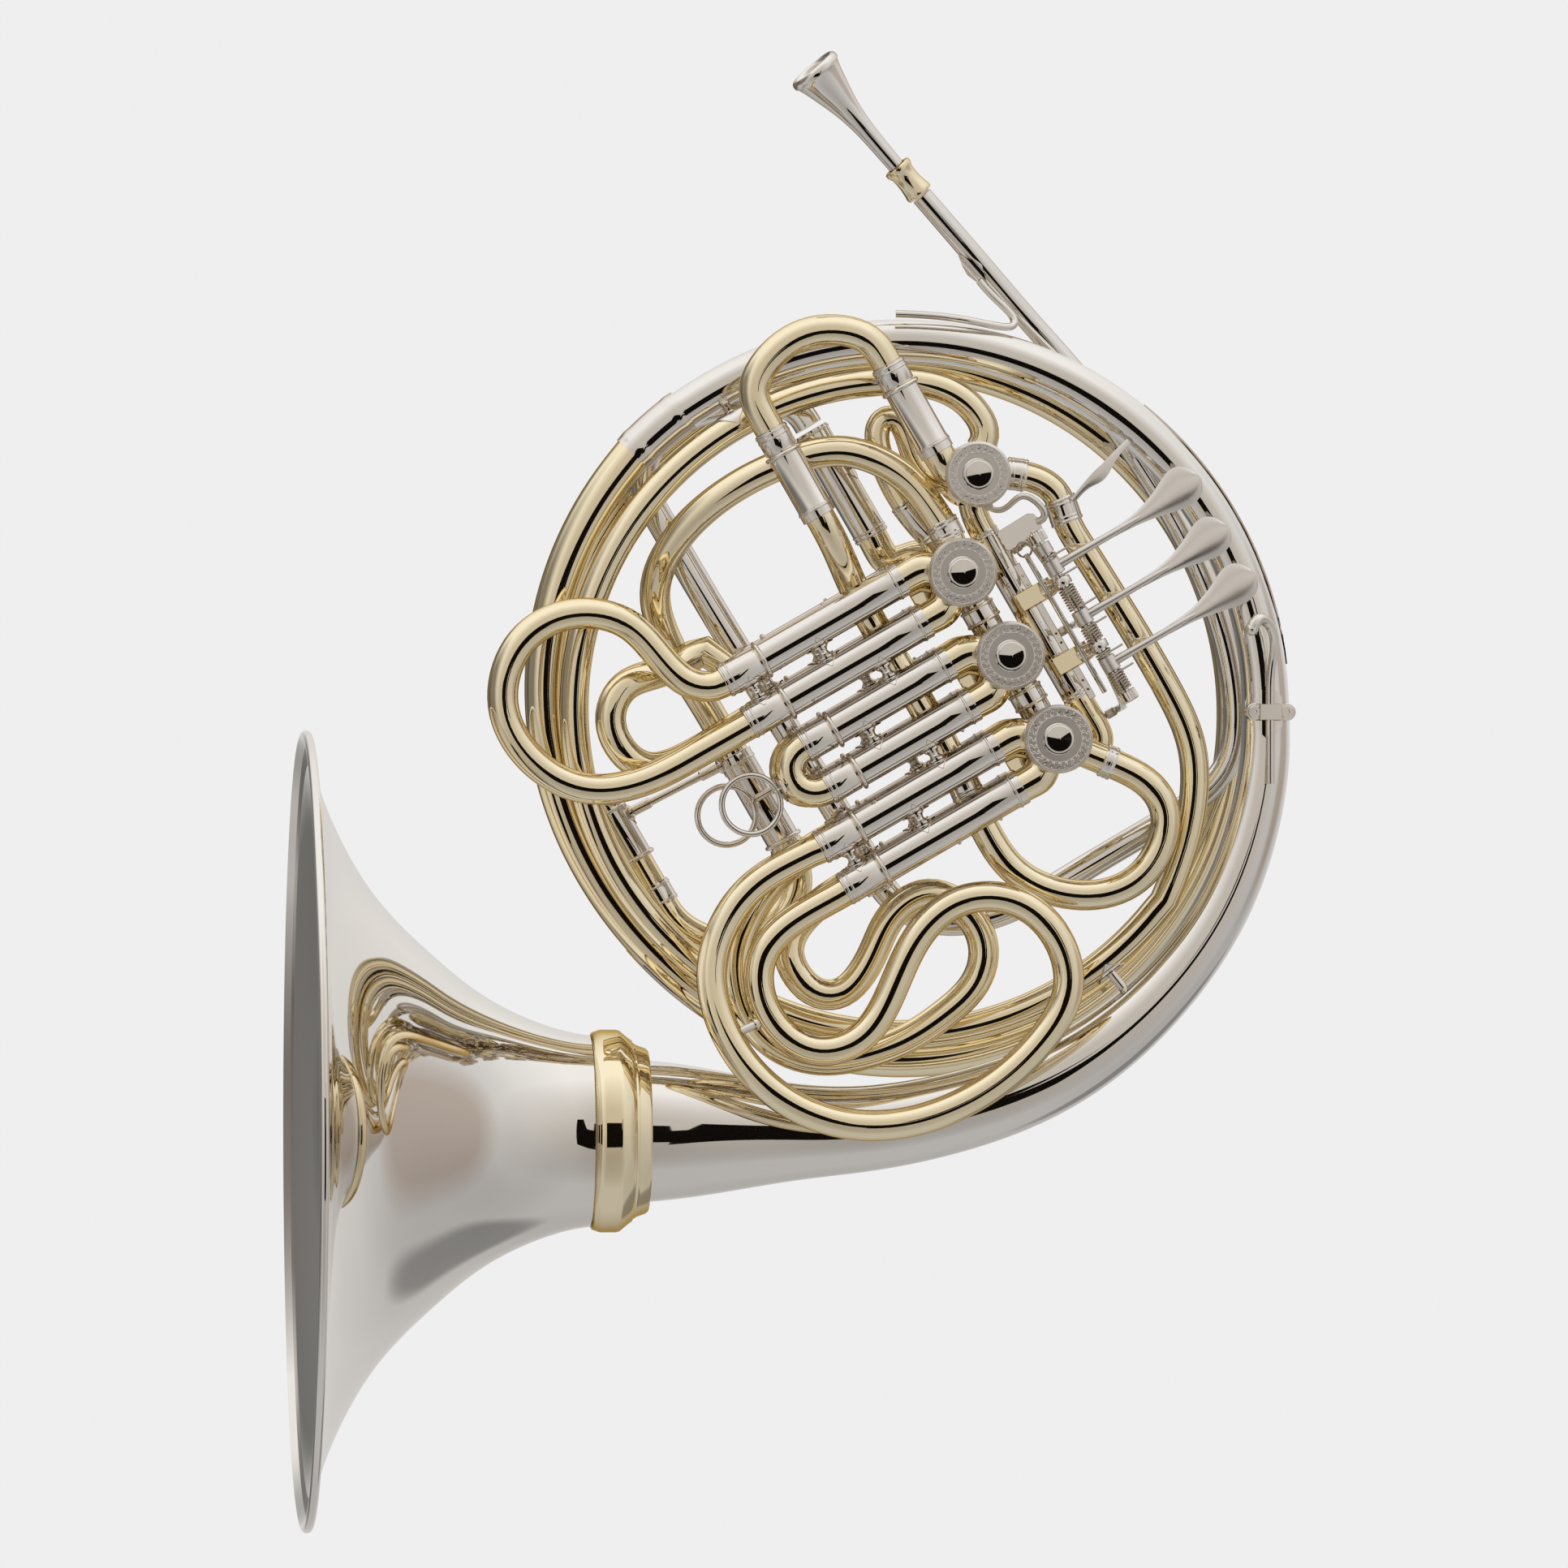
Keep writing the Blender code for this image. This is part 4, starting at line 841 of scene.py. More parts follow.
def valve_slides():
    """The six valve slides and their sleeves."""
    first_f = spline(
        flat(
            F_LEVEL, (-71.5, 9.2), (-80.0, 6.2), (-92.5, 13.0), (-105.5, 35.0), (-132.5, 38.5),
            (-153.0, 25.5), (-159.5, 0.0), (-147.0, -21.5), (-125.5, -34.0), (-101.0, -29.5),
            (-81.0, -17.7), (-70.0, -11.6), (-62.0, -7.0),
        ),
    )
    third_f = spline(
        (
            (-34.5, -54.5, F_LEVEL), (-40.0, -57.5, F_LEVEL), (-54.0, -63.5, F_LEVEL),
            (-68.5, -77.0, F_LEVEL), (-77.5, -99.0, 25.5), (-74.0, -120.5, 28), (-63.0, -140.0, 30),
            (-45.5, -154.5, 31), (-25.0, -162.0, 30), (-2.5, -162.0, 28), (18.5, -155.5, 26.5),
            (37.5, -144.5, 25), (53.0, -129.5, F_LEVEL), (66.0, -110.0, F_LEVEL), (60.0, -87.0, F_LEVEL),
            (43.0, -72.5, F_LEVEL), (19.5, -72.5, F_LEVEL), (3.0, -88.0, F_LEVEL), (-5.0, -109.0, F_LEVEL),
            (-15.0, -129.5, F_LEVEL), (-37.5, -136.0, F_LEVEL), (-56.0, -120.0, F_LEVEL),
            (-59.5, -97.5, F_LEVEL), (-46.5, -82.5, F_LEVEL), (-31.0, -75.0, F_LEVEL),
            (-25.5, -71.8, F_LEVEL),
        ),
    )
    first_b = spline(
        (
            (-77.0, 22.5, B_FLAT_LEVEL), (-83.0, 19.0, B_FLAT_LEVEL), (-93.0, 13.0, 4), (-108.5, 11.0, 10),
            (-116.0, -3.0, 10.5), (-110.5, -17.5, 10), (-98.5, -25.5, 7), (-83.5, -19.5, -2),
            (-74.5, -14.2, B_FLAT_LEVEL), (-68.0, -10.4, B_FLAT_LEVEL),
        ),
    )
    third_b = spline(
        (
            (-28.0, -51.0, B_FLAT_LEVEL), (-35.0, -55.0, B_FLAT_LEVEL), (-47.5, -63.5, 0),
            (-57.0, -76.0, 2.5), (-64.5, -91.5, 3), (-64.5, -108.5, 3), (-58.5, -124.0, 3),
            (-45.0, -135.0, 3), (-28.5, -138.0, 3), (-12.0, -134.5, 3), (3.5, -128.5, 3), (17.0, -119.0, 3),
            (30.0, -108.0, 3), (34.0, -91.5, 3), (24.5, -76.0, 3), (8.5, -69.5, 3), (-6.0, -81.0, 3),
            (-10.5, -95.5, 3), (-21.0, -112.5, 3), (-36.0, -112.0, 3), (-46.5, -96.0, 3), (-40.5, -82.5, 0),
            (-28.5, -73.5, B_FLAT_LEVEL), (-20.5, -68.8, B_FLAT_LEVEL),
        ),
    )
    f_mouths = {1: 84.5, 2: 74.0, 3: 84.5}
    b_mouths = {1: 78.0, 2: 74.0, 3: 78.0}
    f_crooks = {1: first_f, 2: half_turn(2, F_LEVEL, BOW_START), 3: third_f}
    b_crooks = {1: first_b, 2: half_turn(2, B_FLAT_LEVEL, BOW_START), 3: third_b}
    for number in (1, 2, 3):
        f_end = 100.5 if number != 2 else 86.5
        b_end = 92.0 if number != 2 else 86.5
        sleeves(f"f_sleeves_{number}", number, F_LEVEL, f_mouths[number])
        slide(f"f_slide_{number}", number, F_LEVEL, f_mouths[number], f_end, f_crooks[number])
        sleeves(f"b_flat_sleeves_{number}", number, B_FLAT_LEVEL, b_mouths[number])
        slide(f"b_flat_slide_{number}", number, B_FLAT_LEVEL, b_mouths[number], b_end, b_crooks[number])

    ties = Shape()
    for number in (1, 2):
        for level, along in ((F_LEVEL, 44.0), (B_FLAT_LEVEL, 50.0)):
            near = leg(number, 1, level) + PULL * along
            far = leg(number + 1, -1, level) + PULL * along
            brace(ties, near, far, PULL, SLEEVE)
    piece("sleeve_braces", ties, "nickel_silver")
    webs = Shape()
    for number in (1, 2, 3):
        outline = [(9.5, -5.0), (18.0, -4.4), (20.2, -2.2), (20.2, 2.2), (18.0, 4.4), (9.5, 5.0)]
        webs.slab(outline, 3.0, VALVES[number] + UP * 9.0, PULL, UP + CATCH)
    piece("valve_webs", webs, "lacquered_brass")


# ---------------------------------------------------------------- tuning slides and links

def main_tuning():
    """The front tuning slide, its sleeves, and the tube from it to the third valve."""
    left = Vector((-52.9, 107.3, F_LEVEL))
    right = Vector((-7.5, 132.7, F_LEVEL))
    mouth = 9.3
    crook = spline(
        flat(
            F_LEVEL, (-55.2, 111.3), (-58.5, 117.0), (-61.0, 125.0), (-51.0, 139.0), (-37.0, 147.0),
            (-19.0, 146.0), (-12.5, 141.3), (-9.7, 136.5),
        ),
    )
    legs = ((34.0, SLIDE_TUBE - 0.05), (4.0, SLIDE_TUBE - 0.05), (0, CROOK))
    route = chain(straight(left, ROW, legs), sized(crook, CROOK), straight(right, ROW, legs)[::-1])
    piece(
        "main_tuning_crook", Shape().tube(route, 28), "lacquered_brass", "main_tuning_slide",
        ("main_tuning_slide",),
    )
    ends = Shape()
    for start in (left, right):
        stations = [(-0.3, 6.1), (0, 6.72)] + bead(1.0, 6.72, 6.98, 0.45) + bead(3.0, 6.72, 6.98, 0.45)
        stations += [(mouth - 0.7, 6.72), (mouth - 0.4, 6.5), (mouth - 0.35, 6.1)]
        ends.tube(straight(start, ROW, stations), 32)
    piece("main_tuning_ferrules", ends, "nickel_silver", "main_tuning_slide")

    for name, start, end in (("main_sleeve_left", left, 38.6), ("main_sleeve_right", right, 39.4)):
        stations = [(mouth, 6.2), (mouth + 0.02, SLEEVE)] + bead(mouth + 1.0, SLEEVE, BEAD, 0.95, 10)
        stations += [(mouth + 2, SLEEVE), (end - 5.0, SLEEVE), (end - 4.7, 6.95)]
        stations += bead(end - 3.6, 6.95, 7.25, 0.5) + [(end - 0.2, 6.95), (end, 6.2)]
        piece(
            name + "_drawn", Shape().tube(straight(start, ROW, stations), 32), "nickel_silver", "horn",
            (name,),
        )
    foot = right + ROW * 39.0
    turn = spline(
        (
            foot, foot + ROW * 3.5, foot + ROW * 7.5 + Vector((0.5, 0, -1.0)), (17.0, 90.8, 19.6),
            (20.5, 89.3, 17.6), (23.5, 89.6, 16.6),
        ),
        1.0,
    )
    piece("main_sleeve_right_knuckle", Shape().tube(sized(turn, 6.3, 6.0), 28), "lacquered_brass")

    feed = spline(
        (
            (-34.9, 76.1, F_LEVEL), (-32.9, 72.6, F_LEVEL), (-30.4, 68.4, 23.5), (-25.0, 58.5, 18),
            (-18.5, 44.0, 8.5), (-4.5, 20.5, 9.5), (5.5, 4.0, 10), (15.5, -13.0, 10), (23.5, -29.5, 10),
            (31.5, -47.0, 10), (41.5, -64.0, 10), (60.0, -73.0, 10), (80.5, -73.5, 10), (97.0, -64.0, 10),
            (105.5, -42.0, 10), (95.5, -26.5, 10), (81.0, -21.5, 10), (66.5, -15.5, 10),
        ),
    )
    piece("feed_tube_drawn", Shape().tube(sized(feed, 5.9), 28), "lacquered_brass", "horn", ("feed_tube",))
    ferrules = Shape()
    total = sum((a - b).length for a, b in zip(feed, feed[1:]))
    ferrules.tube(ferruled(stretch(feed, total - 17.5, total - 8.5), 6.5), 28)
    ferrules.tube(ferruled(stretch(feed, 118.0, 130.0), 6.4), 28)
    piece("feed_ferrules", ferrules, "nickel_silver")


def rear_tuning():
    """The arch from the first valve, and the rear tuning slide between it and the outer coil."""
    level = REAR_LEVEL
    arch = spline(
        (
            (19.5, 60.0, 14), (17.5, 67.0, 14), (9.5, 79.5, 13.5), (-0.5, 92.0, 12.5), (-23.5, 102.5, 11),
            (-48.0, 95.0, 9.5), (-68.5, 84.5, 6), (-87.0, 68.5, -1), (-98.5, 46.0, -14), (-88.0, 22.0, -27),
            (-74.8, 3.5, -35), (-66.4, -11.0, -36.5), (-62.5, -17.8, -36.5),
        ),
    )
    piece("arch_tube_drawn", Shape().tube(sized(arch, CROOK), 28), "lacquered_brass", "horn", ("arch_tube",))
    piece("arch_ferrule", Shape().tube(ferruled(stretch(arch, 4.0, 14.5), 6.6), 28), "nickel_silver")

    right = Vector((-62.3, -18.2, level))
    left = Vector((-112.9, -37.4, level))
    shape = Shape()
    for start, mouth in ((right, 39.5), (left, 25.5)):
        stations = [(-0.1, 6.1), (0, 6.95), (0.8, 6.98)] + bead(3.4, 6.95, 7.25, 0.5) + [(4.4, SLEEVE)]
        stations += bead(mouth - 1.0, SLEEVE, BEAD, 0.95, 10) + [(mouth, SLEEVE), (mouth + 0.02, 6.2)]
        shape.tube(straight(start, ROW, stations), 32)
    near = left + ROW * 7.5
    far = right + ROW * 1.5
    way = (far - near).normalized()
    for spot, out in ((near, way), (far, -way)):
        shape.saddle(spot, ROW, out, SLEEVE, 5.0, 60)
    length = (far - near).length
    profile = [
        (0, 6.5), (3.2, 6.5), (3.2, 7.4), (2.1, 8.2), (2.1, 15.5), (1.5, 16.0), (1.5, length - 16.0),
        (2.1, length - 15.5),
    ]
    profile += [(2.1, length - 8.2), (3.2, length - 7.4), (3.2, length - 6.5), (0, length - 6.5)]
    shape.turned(profile, near, way, 20)
    piece("rear_tuning_sleeves_drawn", shape, "nickel_silver", "horn", ("rear_tuning_sleeves",))

    crook = spline(
        flat(
            level, (-89.8, -77.4), (-86.6, -83.0), (-77.1, -90.5), (-60.2, -93.5), (-44.7, -84.5),
            (-35.9, -71.0), (-37.9, -61.0), (-41.2, -54.8),
        ),
    )
    exposed = ((8.0, 5.95), (44.0, 5.95), (45.8, CROOK))
    plain = ((8.0, 5.95), (38.0, 5.95))
    route = chain(straight(left, ROW, exposed), sized(crook, CROOK), straight(right, ROW, plain)[::-1])
    piece(
        "rear_tuning_crook", Shape().tube(route, 28), "lacquered_brass", "rear_tuning_slide",
        ("rear_tuning_slide",),
    )
    ends = Shape()
    stations = [(36.6, 6.0), (36.7, 6.75)] + bead(38.0, 6.75, 7.1, 0.5) + bead(44.4, 6.75, 7.0, 0.5)
    stations += [(45.6, 6.7), (45.7, 6.0)]
    ends.tube(straight(left, ROW, stations), 32)
    stations = [(39.9, 6.0), (40.0, 6.7)] + bead(41.2, 6.7, 7.0, 0.5) + [(42.6, 6.7), (42.8, 6.0)]
    ends.tube(straight(right, ROW, stations), 32)
    piece("rear_tuning_ferrules", ends, "nickel_silver", "rear_tuning_slide")


def links():
    """The link sleeve and its elbow, the linking crook, and the tube beside the valves."""
    start = Vector((-33.9, 108.1, -14.0))
    stations = [(-0.1, 5.8), (0, 6.8), *bead(1.2, 6.8, 7.2, 0.5), (3.0, 6.8), (44.0, 6.8)]
    stations += bead(45.2, 6.8, 7.2, 0.5) + bead(47.0, 6.8, 7.2, 0.5) + [(47.9, 6.8), (48.0, 5.9)]
    shape = Shape().tube(straight(start, ROW, stations), 32)
    shape.saddle(start + ROW * 19.0, ROW, UP * 0.5 + REACH, 6.8, 6.0, 60)
    arm_start = start + ROW * 19.0 + REACH * 6.5 + UP * 3.5
    shape.rod(1.9, arm_start, arm_start + REACH * 13 + UP * 9.0, 20)
    piece("link_sleeve_drawn", shape, "nickel_silver", "horn", ("link_sleeve",))
    elbow = spline(
        (
            (-10.4, 67.4, -14), (-7.8, 62.8, -14.2), (-5.0, 56.0, -15.5), (3.0, 57.5, -16),
            (9.0, 60.5, -16), (15.0, 59.0, -16),
        ),
        1.2,
    )
    piece("link_elbow", Shape().tube(sized(elbow, 6.1), 28), "lacquered_brass")

    crook = spline(
        (
            (16.5, 60.0, -3), (13.5, 65.0, -3), (8.5, 70.0, -3.5), (1.5, 78.5, -4), (-6.0, 92.0, -6),
            (-11.5, 111.5, -6), (1.5, 115.5, -6), (5.0, 95.0, -6), (12.0, 88.0, -6), (19.0, 88.0, -6),
        ),
        1.6,
    )
    ferrule = Shape().tube(ferruled(stretch(crook, 6.0, 26.0), 5.4, 0.25), 24)
    piece(
        "linking_crook_bent", Shape().tube(sized(crook, 4.9), 24), "lacquered_brass", "horn",
        ("linking_crook",),
    )
    piece("linking_ferrule", ferrule, "nickel_silver")

    run = spline(
        (
            (28.6, 80.0, -9), (29.3, 75.5, -9.5), (32.5, 69.3, -10), (40.5, 55.5, -10), (56.5, 27.8, -10),
            (66.5, 10.5, -10), (74.0, -2.5, -10), (81.5, -13.5, -10), (75.0, -19.0, -10),
            (66.0, -15.0, -10),
        ),
        1.6,
    )
    piece("row_tube_drawn", Shape().tube(sized(run, 5.4), 28), "lacquered_brass", "horn", ("row_tube",))
    middle = Shape()
    middle.tube(ferruled(stretch(run, 12.0, 88.0), 5.8), 28)
    piece("row_tube_sleeve", middle, "nickel_silver")
    frames = Shape()
    lugs = Shape()
    collar = [(2.05, -1.6), (3.4, -1.6), (3.6, -1.3), (3.6, 1.3), (3.4, 1.6), (2.05, 1.6)]
    for along in BRACKETS:
        foot = AXLE_START + ROW * along - REACH * 14.5
        foot.z = 0
        outline = [(-3.8, -3.6), (11.5, -3.6), (11.5, 3.6), (-3.8, 3.6)]
        frames.slab(outline, 13.0, foot + UP * 1.6, REACH, UP + CATCH, 0.5)
        lugs.rod(3.0, foot + REACH * 7.5 + UP * 6.0, foot + REACH * 14.0 + UP * 10.0)
        lugs.rod(3.3, foot + REACH * 14.5 + UP * 8.0, foot + REACH * 14.5 + UP * 16.8)
        lugs.turned(collar, AXLE_START + ROW * along, ROW, 28, closed=True)
    piece("bracket_blocks", frames, "lacquered_brass")
    piece("bracket_lugs", lugs, "nickel_silver")
    plate_at = AXLE_START + ROW * 33.0 - REACH * 10.6 - UP * 18.0
    rail = Shape().slab([(-30, -1.3), (30, -1.3), (30, 1.3), (-30, 1.3)], 1.6, plate_at, ROW, UP + CATCH)
    for along in (-25, -21, 1, 5, 22, 26):
        rail.rod(0.6, plate_at + ROW * along + UP * 0.5, plate_at + ROW * along + UP * 1.3, 16)
    beside = AXLE_START - REACH * 6.4 - UP * 7.0
    rail.rod(1.1, beside + ROW * 1.0, beside + ROW * 63.0, 16)
    piece("stop_rail", rail, "nickel_silver")


# ---------------------------------------------------------------- levers

def paddle(shape, start):
    """A finger paddle: a thin plate on a long neck, widening, with a folded upper edge."""
    upper = spline(
        flat(
            0, (26, 1.5), (34, 1.9), (42, 3.4), (50, 7.0), (56, 10.4), (61, 10.6), (64.5, 7.2), (66.4, 2.0),
        ),
        1.4,
    )
    lower = spline(
        flat(
            0, (26, -1.5), (34, -1.7), (42, -2.7), (50, -4.5), (56, -5.8), (61, -5.8), (65.2, -3.2),
            (66.5, 1.2),
        ),
        1.4,
    )
    count = min(len(upper), len(lower))
    rings = []
    for k in range(count):
        high = upper[round(k * (len(upper) - 1) / (count - 1))]
        low = lower[round(k * (len(lower) - 1) / (count - 1))]
        top = []
        bottom = []
        width = high.y - low.y
        for j in range(9):
            share = j / 8
            out = low.x + (high.x - low.x) * share
            across = low.y + width * share
            fold = max(0.0, share - 0.55) / 0.45
            crown = 0.06 * width * math.sin(math.pi * min(1.0, share / 0.6))
            rise = 3.2 + 0.05 * (out - 26) + crown - 0.10 * width * fold
            spot = start + REACH * out - ROW * across
            thick = 0.35 if j in (0, 8) else 0.75
            top.append(spot + UP * (rise + thick))
            bottom.append(spot + UP * (rise - thick))
        rings.append(top[::-1] + bottom)
    shape.rings(rings)


def levers():
    """The axle with its knobs and springs, the finger levers, the thumb lever and the link rods."""
    axle = Shape()
    profile = [(0, -2.0), (1.7, -2.0), (1.7, AXLE_LENGTH + 1.5), (0, AXLE_LENGTH + 1.5)]
    axle.turned(profile, AXLE_START, ROW, 24)
    for along, way in ((-0.4, -1), (AXLE_LENGTH - 0.6, 1)):
        knob = [(0, 0), (3.4, 0), (3.8, 0.3), (3.8, 3.8), (3.3, 4.4), (0, 4.7)]
        axle.turned(knob, AXLE_START + ROW * along, ROW * way, 44, facets=-0.07)
    piece("lever_axle_turned", axle, "nickel_silver", "horn", ("lever_axle",), 30)
    springs = Shape()
    gaps = ((5.4, 7.0), (19.5, 29.4), (36.6, 43.6), (48.1, 50.3), (57.5, 65.6))
    for low, high in gaps:
        turns = (high - low) / 1.15
        springs.helix(AXLE_START + ROW * low, ROW, 3.0, 0.48, 1.15, turns)
    for along in HUBS:
        for offset in (-4.2, 4.2):
            foot = AXLE_START + ROW * (along + offset)
            root = foot + UP * 2.8
            bend = foot + UP * 3.1 + REACH * 3
            wire = spline((root, root.lerp(bend, 0.5), bend, foot + UP * 1.8 + REACH * 8))
            springs.tube(sized(wire, 0.42), 8)
    piece("lever_springs", springs, "steel")

    for number, along in enumerate(HUBS, 1):
        start = AXLE_START + ROW * along
        name = f"lever_{number}"
        lever = Shape()
        hub = [(2.0, -3.2), (3.0, -3.2), (3.4, -2.9), (3.4, 2.9), (3.0, 3.2), (2.0, 3.2)]
        lever.turned(hub, start, ROW, 32, closed=True)
        arm = [
            (2.2, 0.3, 2.0), (7, 1.4, 1.75), (14, 2.3, 1.55), (22, 3.0, 1.5), (30, 3.4, 1.45),
            (38, 3.7, 1.1), (46, 3.6, 0.5),
        ]
        lever.tube([(*(start + REACH * out + UP * rise), size) for out, rise, size in arm], 20)
        paddle(lever, start)
        foot = AXLE_START + ROW * LINKS[number - 1] + UP * (LINK_LEVEL - AXLE_START.z)
        top = (start - UP * 1.5, start - UP * 12, start - UP * 19)
        route = spline((*top, foot + UP * 20, foot + UP * 6, foot - UP * 1.5), 2.0)
        lever.tube(sized(route, 1.6, 1.4), 16)
        lever.rod(2.3, foot - ROW * 1.3, foot + ROW * 1.3, 20)
        piece(name + "_forged", lever, "satin_nickel", name, (name,))
        near = VALVES[number] + UP * LINK_LEVEL
        reach = (foot - near).dot(REACH)
        side = (foot - near).dot(ROW)
        rod_start = near + ROW * side - REACH * 3.6
        rod_end = near + ROW * side + REACH * (reach - 1.8)
        rods = Shape().rod(1.2, rod_start, rod_end, 16)
        rods.turned([(0, 0), (1.9, 0), (1.9, 3.6), (1.3, 4.4), (0, 4.6)], rod_end - REACH * 4.7, REACH, 6)
        rods.hoop(rod_start + REACH * 0.4, UP, 1.5, 0.6, 24, 8)
        rod_name = f"link_rod_{number}"
        piece(rod_name + "_turned", rods, "steel", rod_name, (rod_name,))

    seat = AXLE_START - ROW * 7.5 - REACH * 3.5
    seat.z = 9.0
    thumb = Shape()
    thumb.turned(
        [(2.0, 0.4), (3.1, 0.4), (3.4, 0.7), (3.4, 4.7), (3.1, 5.0), (2.0, 5.0)], AXLE_START, ROW, 32,
        closed=True,
    )
    outline = [
        (-8.5, -3.6), (-7.6, -4.3), (5.6, -4.7), (7.8, -3.6), (8.6, -1.5), (8.6, 1.5), (7.8, 3.6),
        (5.6, 4.7), (-7.6, 4.3), (-8.5, 3.6),
    ]
    plate = Shape().slab(outline, 1.6, seat, REACH, UP + CATCH)
    piece("thumb_plate", plate, "nickel_silver", "thumb_lever")
    hub_end = AXLE_START + ROW * 2.5
    drop = spline(
        (
            hub_end - UP * 1.5, hub_end - UP * 5, hub_end - ROW * 2 - UP * 9.5,
            seat + ROW * 2.5 + REACH * 4,
        ),
        1.5,
    )
    thumb.tube(sized(drop, 1.6, 1.4), 16)
    curl = spline(
        (
            seat + REACH * 7.5, (56.5, 73.5, 10.5), (54.0, 79.0, 11), (46.0, 84.0, 11), (41.5, 78.0, 10.5),
            (36.5, 75.5, 10), (32.5, 78.5, 9.5),
        ),
        1.2,
    )
    thumb.tube(sized(curl, 1.5, 1.1), 16)
    thumb.rod(1.8, Vector((33.2, 78.3, 7.9)), Vector((33.2, 78.3, 11.2)), 20)
    piece("thumb_lever_forged", thumb, "satin_nickel", "thumb_lever", ("thumb_lever",))
    hoop = Shape().hoop(Vector((47.0, 61.5, 12)), Vector((0.2, 0.1, 1)), 3.0, 0.45, 32, 8)
    piece("spring_clip", hoop, "steel", "thumb_lever")


# ---------------------------------------------------------------- hook, rings and guards

def pinky_hook():
    """The little finger's hook, its clamp and saddle plate on the tail."""
    route = spline(
        (
            (143.5, -29.5, 8.5), (143.5, -10.0, 8.5), (143.5, 5.0, 8.5), (143.5, 16.0, 9.0),
            (146.5, 30.0, 13.0), (137.0, 37.5, 25.0), (134.5, 30.5, 24.0),
        ),
        1.6,
    )
    last = len(route) - 1
    body = [(*spot, 1.65 + 0.75 * max(0.0, (k / last - 0.6) / 0.4)) for k, spot in enumerate(route)]
    end = Vector(route[-1])
    hook = Shape().tube(body, 24)
    ball = [(2.6 * math.sin(math.pi * k / 10), -2.6 * math.cos(math.pi * k / 10)) for k in range(11)]
    hook.turned(ball, end, Vector(route[-1]) - Vector(route[-2]), 24)
    piece("pinky_hook_bent", hook, "nickel_silver", "pinky_hook", ("pinky_hook",))

    centre = Vector((143.5, -1.6, 7.95))
    clamp = Shape()
    for side in (-1, 1):
        spot = centre + Vector((side * 6.4, 0, 0))
        outline = [(3.4 * math.cos(math.pi * k / 12), 3.4 * math.sin(math.pi * k / 12)) for k in range(24)]
        clamp.slab(outline, 5.4, spot - UP * 0.2, (1, 0, 0), UP, 0.3)
        screw = [(0, 2.0), (1.0, 2.0), (1.0, 3.4), (2.3, 3.4), (2.5, 3.2), (2.5, 1.5), (0, 1.5)]
        clamp.turned(screw[::-1], spot, UP, 24)
    block = [(-4.4, -3.1), (4.4, -3.1), (4.4, 3.1), (-4.4, 3.1)]
    clamp.slab(block, 1.4, centre - UP * 2.3, (1, 0, 0), UP)
    clamp.slab(block, 1.3, centre + UP * 3.0, (1, 0, 0), UP)
    clamp.slab([(-4.4, -3.1), (-2.1, -3.1), (-2.1, 3.1), (-4.4, 3.1)], 6.0, centre, (1, 0, 0), UP)
    clamp.slab([(2.1, -3.1), (4.4, -3.1), (4.4, 3.1), (2.1, 3.1)], 6.0, centre, (1, 0, 0), UP)
    piece("hook_clamp_milled", clamp, "nickel_silver", "horn", ("hook_clamp",))
    plate = Shape()
    plate.saddle(Vector((TAIL_ROUND, -1.6, -4.9)), Vector((0, 1, 0)), UP, 9.5, 11.0, 66, 0.5, 24)
    piece("hook_saddle", plate, "nickel_silver")


def pull_rings():
    """The two loose rings on the second valve's slides, with their eyelets."""
    radius = 11.4
    wire = 1.2
    upper = (1, F_LEVEL, 0, "f_slide_2")
    lower = (2, B_FLAT_LEVEL, RING_STUB, "b_flat_slide_2")
    for number, level, post, body in (upper, lower):
        end = bow_end(level)
        centre = end + PULL * (post + radius + wire + 0.3)
        name = f"pull_ring_{number}"
        piece(name + "_wire", Shape().hoop(centre, UP, radius, wire, 72, 16), "nickel_silver", name, (name,))
        eye = Shape()
        if post:
            eye.rod(1.5, end - PULL * 1.5, end + PULL * post, 20)
            eye.rod(2.2, end - PULL * 0.5, end + PULL * 1.2, 20)
        else:
            eye.saddle(end - PULL * CROOK, ROW, PULL, CROOK, 6.0, 60)
        eye.hoop(end + PULL * (post + 1.6), ROW, 2.1, 0.6, 24, 8)
        piece(name + "_eyelet", eye, "nickel_silver", body)


def guard(name, spots, radii, first, last, half_turn_degrees):
    """A guard strip with pointed ends on a coil's outer side, between two angles round the body."""
    chosen = []
    for k, spot in enumerate(spots):
        angle = math.degrees(math.atan2(spot.y, spot.x)) % 360
        if first < angle < last and spot.length > 115:
            chosen.append(k)
    rings = []
    for k in chosen:
        share = (k - chosen[0]) / (chosen[-1] - chosen[0])
        spot = spots[k]
        tangent = (spots[k + 1] - spots[k - 1]).normalized()
        out = Vector((spot.x, spot.y, 0)).normalized()
        side = tangent.cross(out).normalized()
        half = math.radians(half_turn_degrees) * min(1.0, 5 * share, 5 * (1 - share)) + 0.02
        ring = []
        for level, way in ((0.5, 1), (-0.3, -1)):
            for j in range(7):
                turn = half * way * (-1 + j / 3)
                ring.append(spot + (out * math.cos(turn) + side * math.sin(turn)) * (radii[k] + level))
        rings.append(ring)
    piece(name, Shape().rings(rings), "nickel_silver")


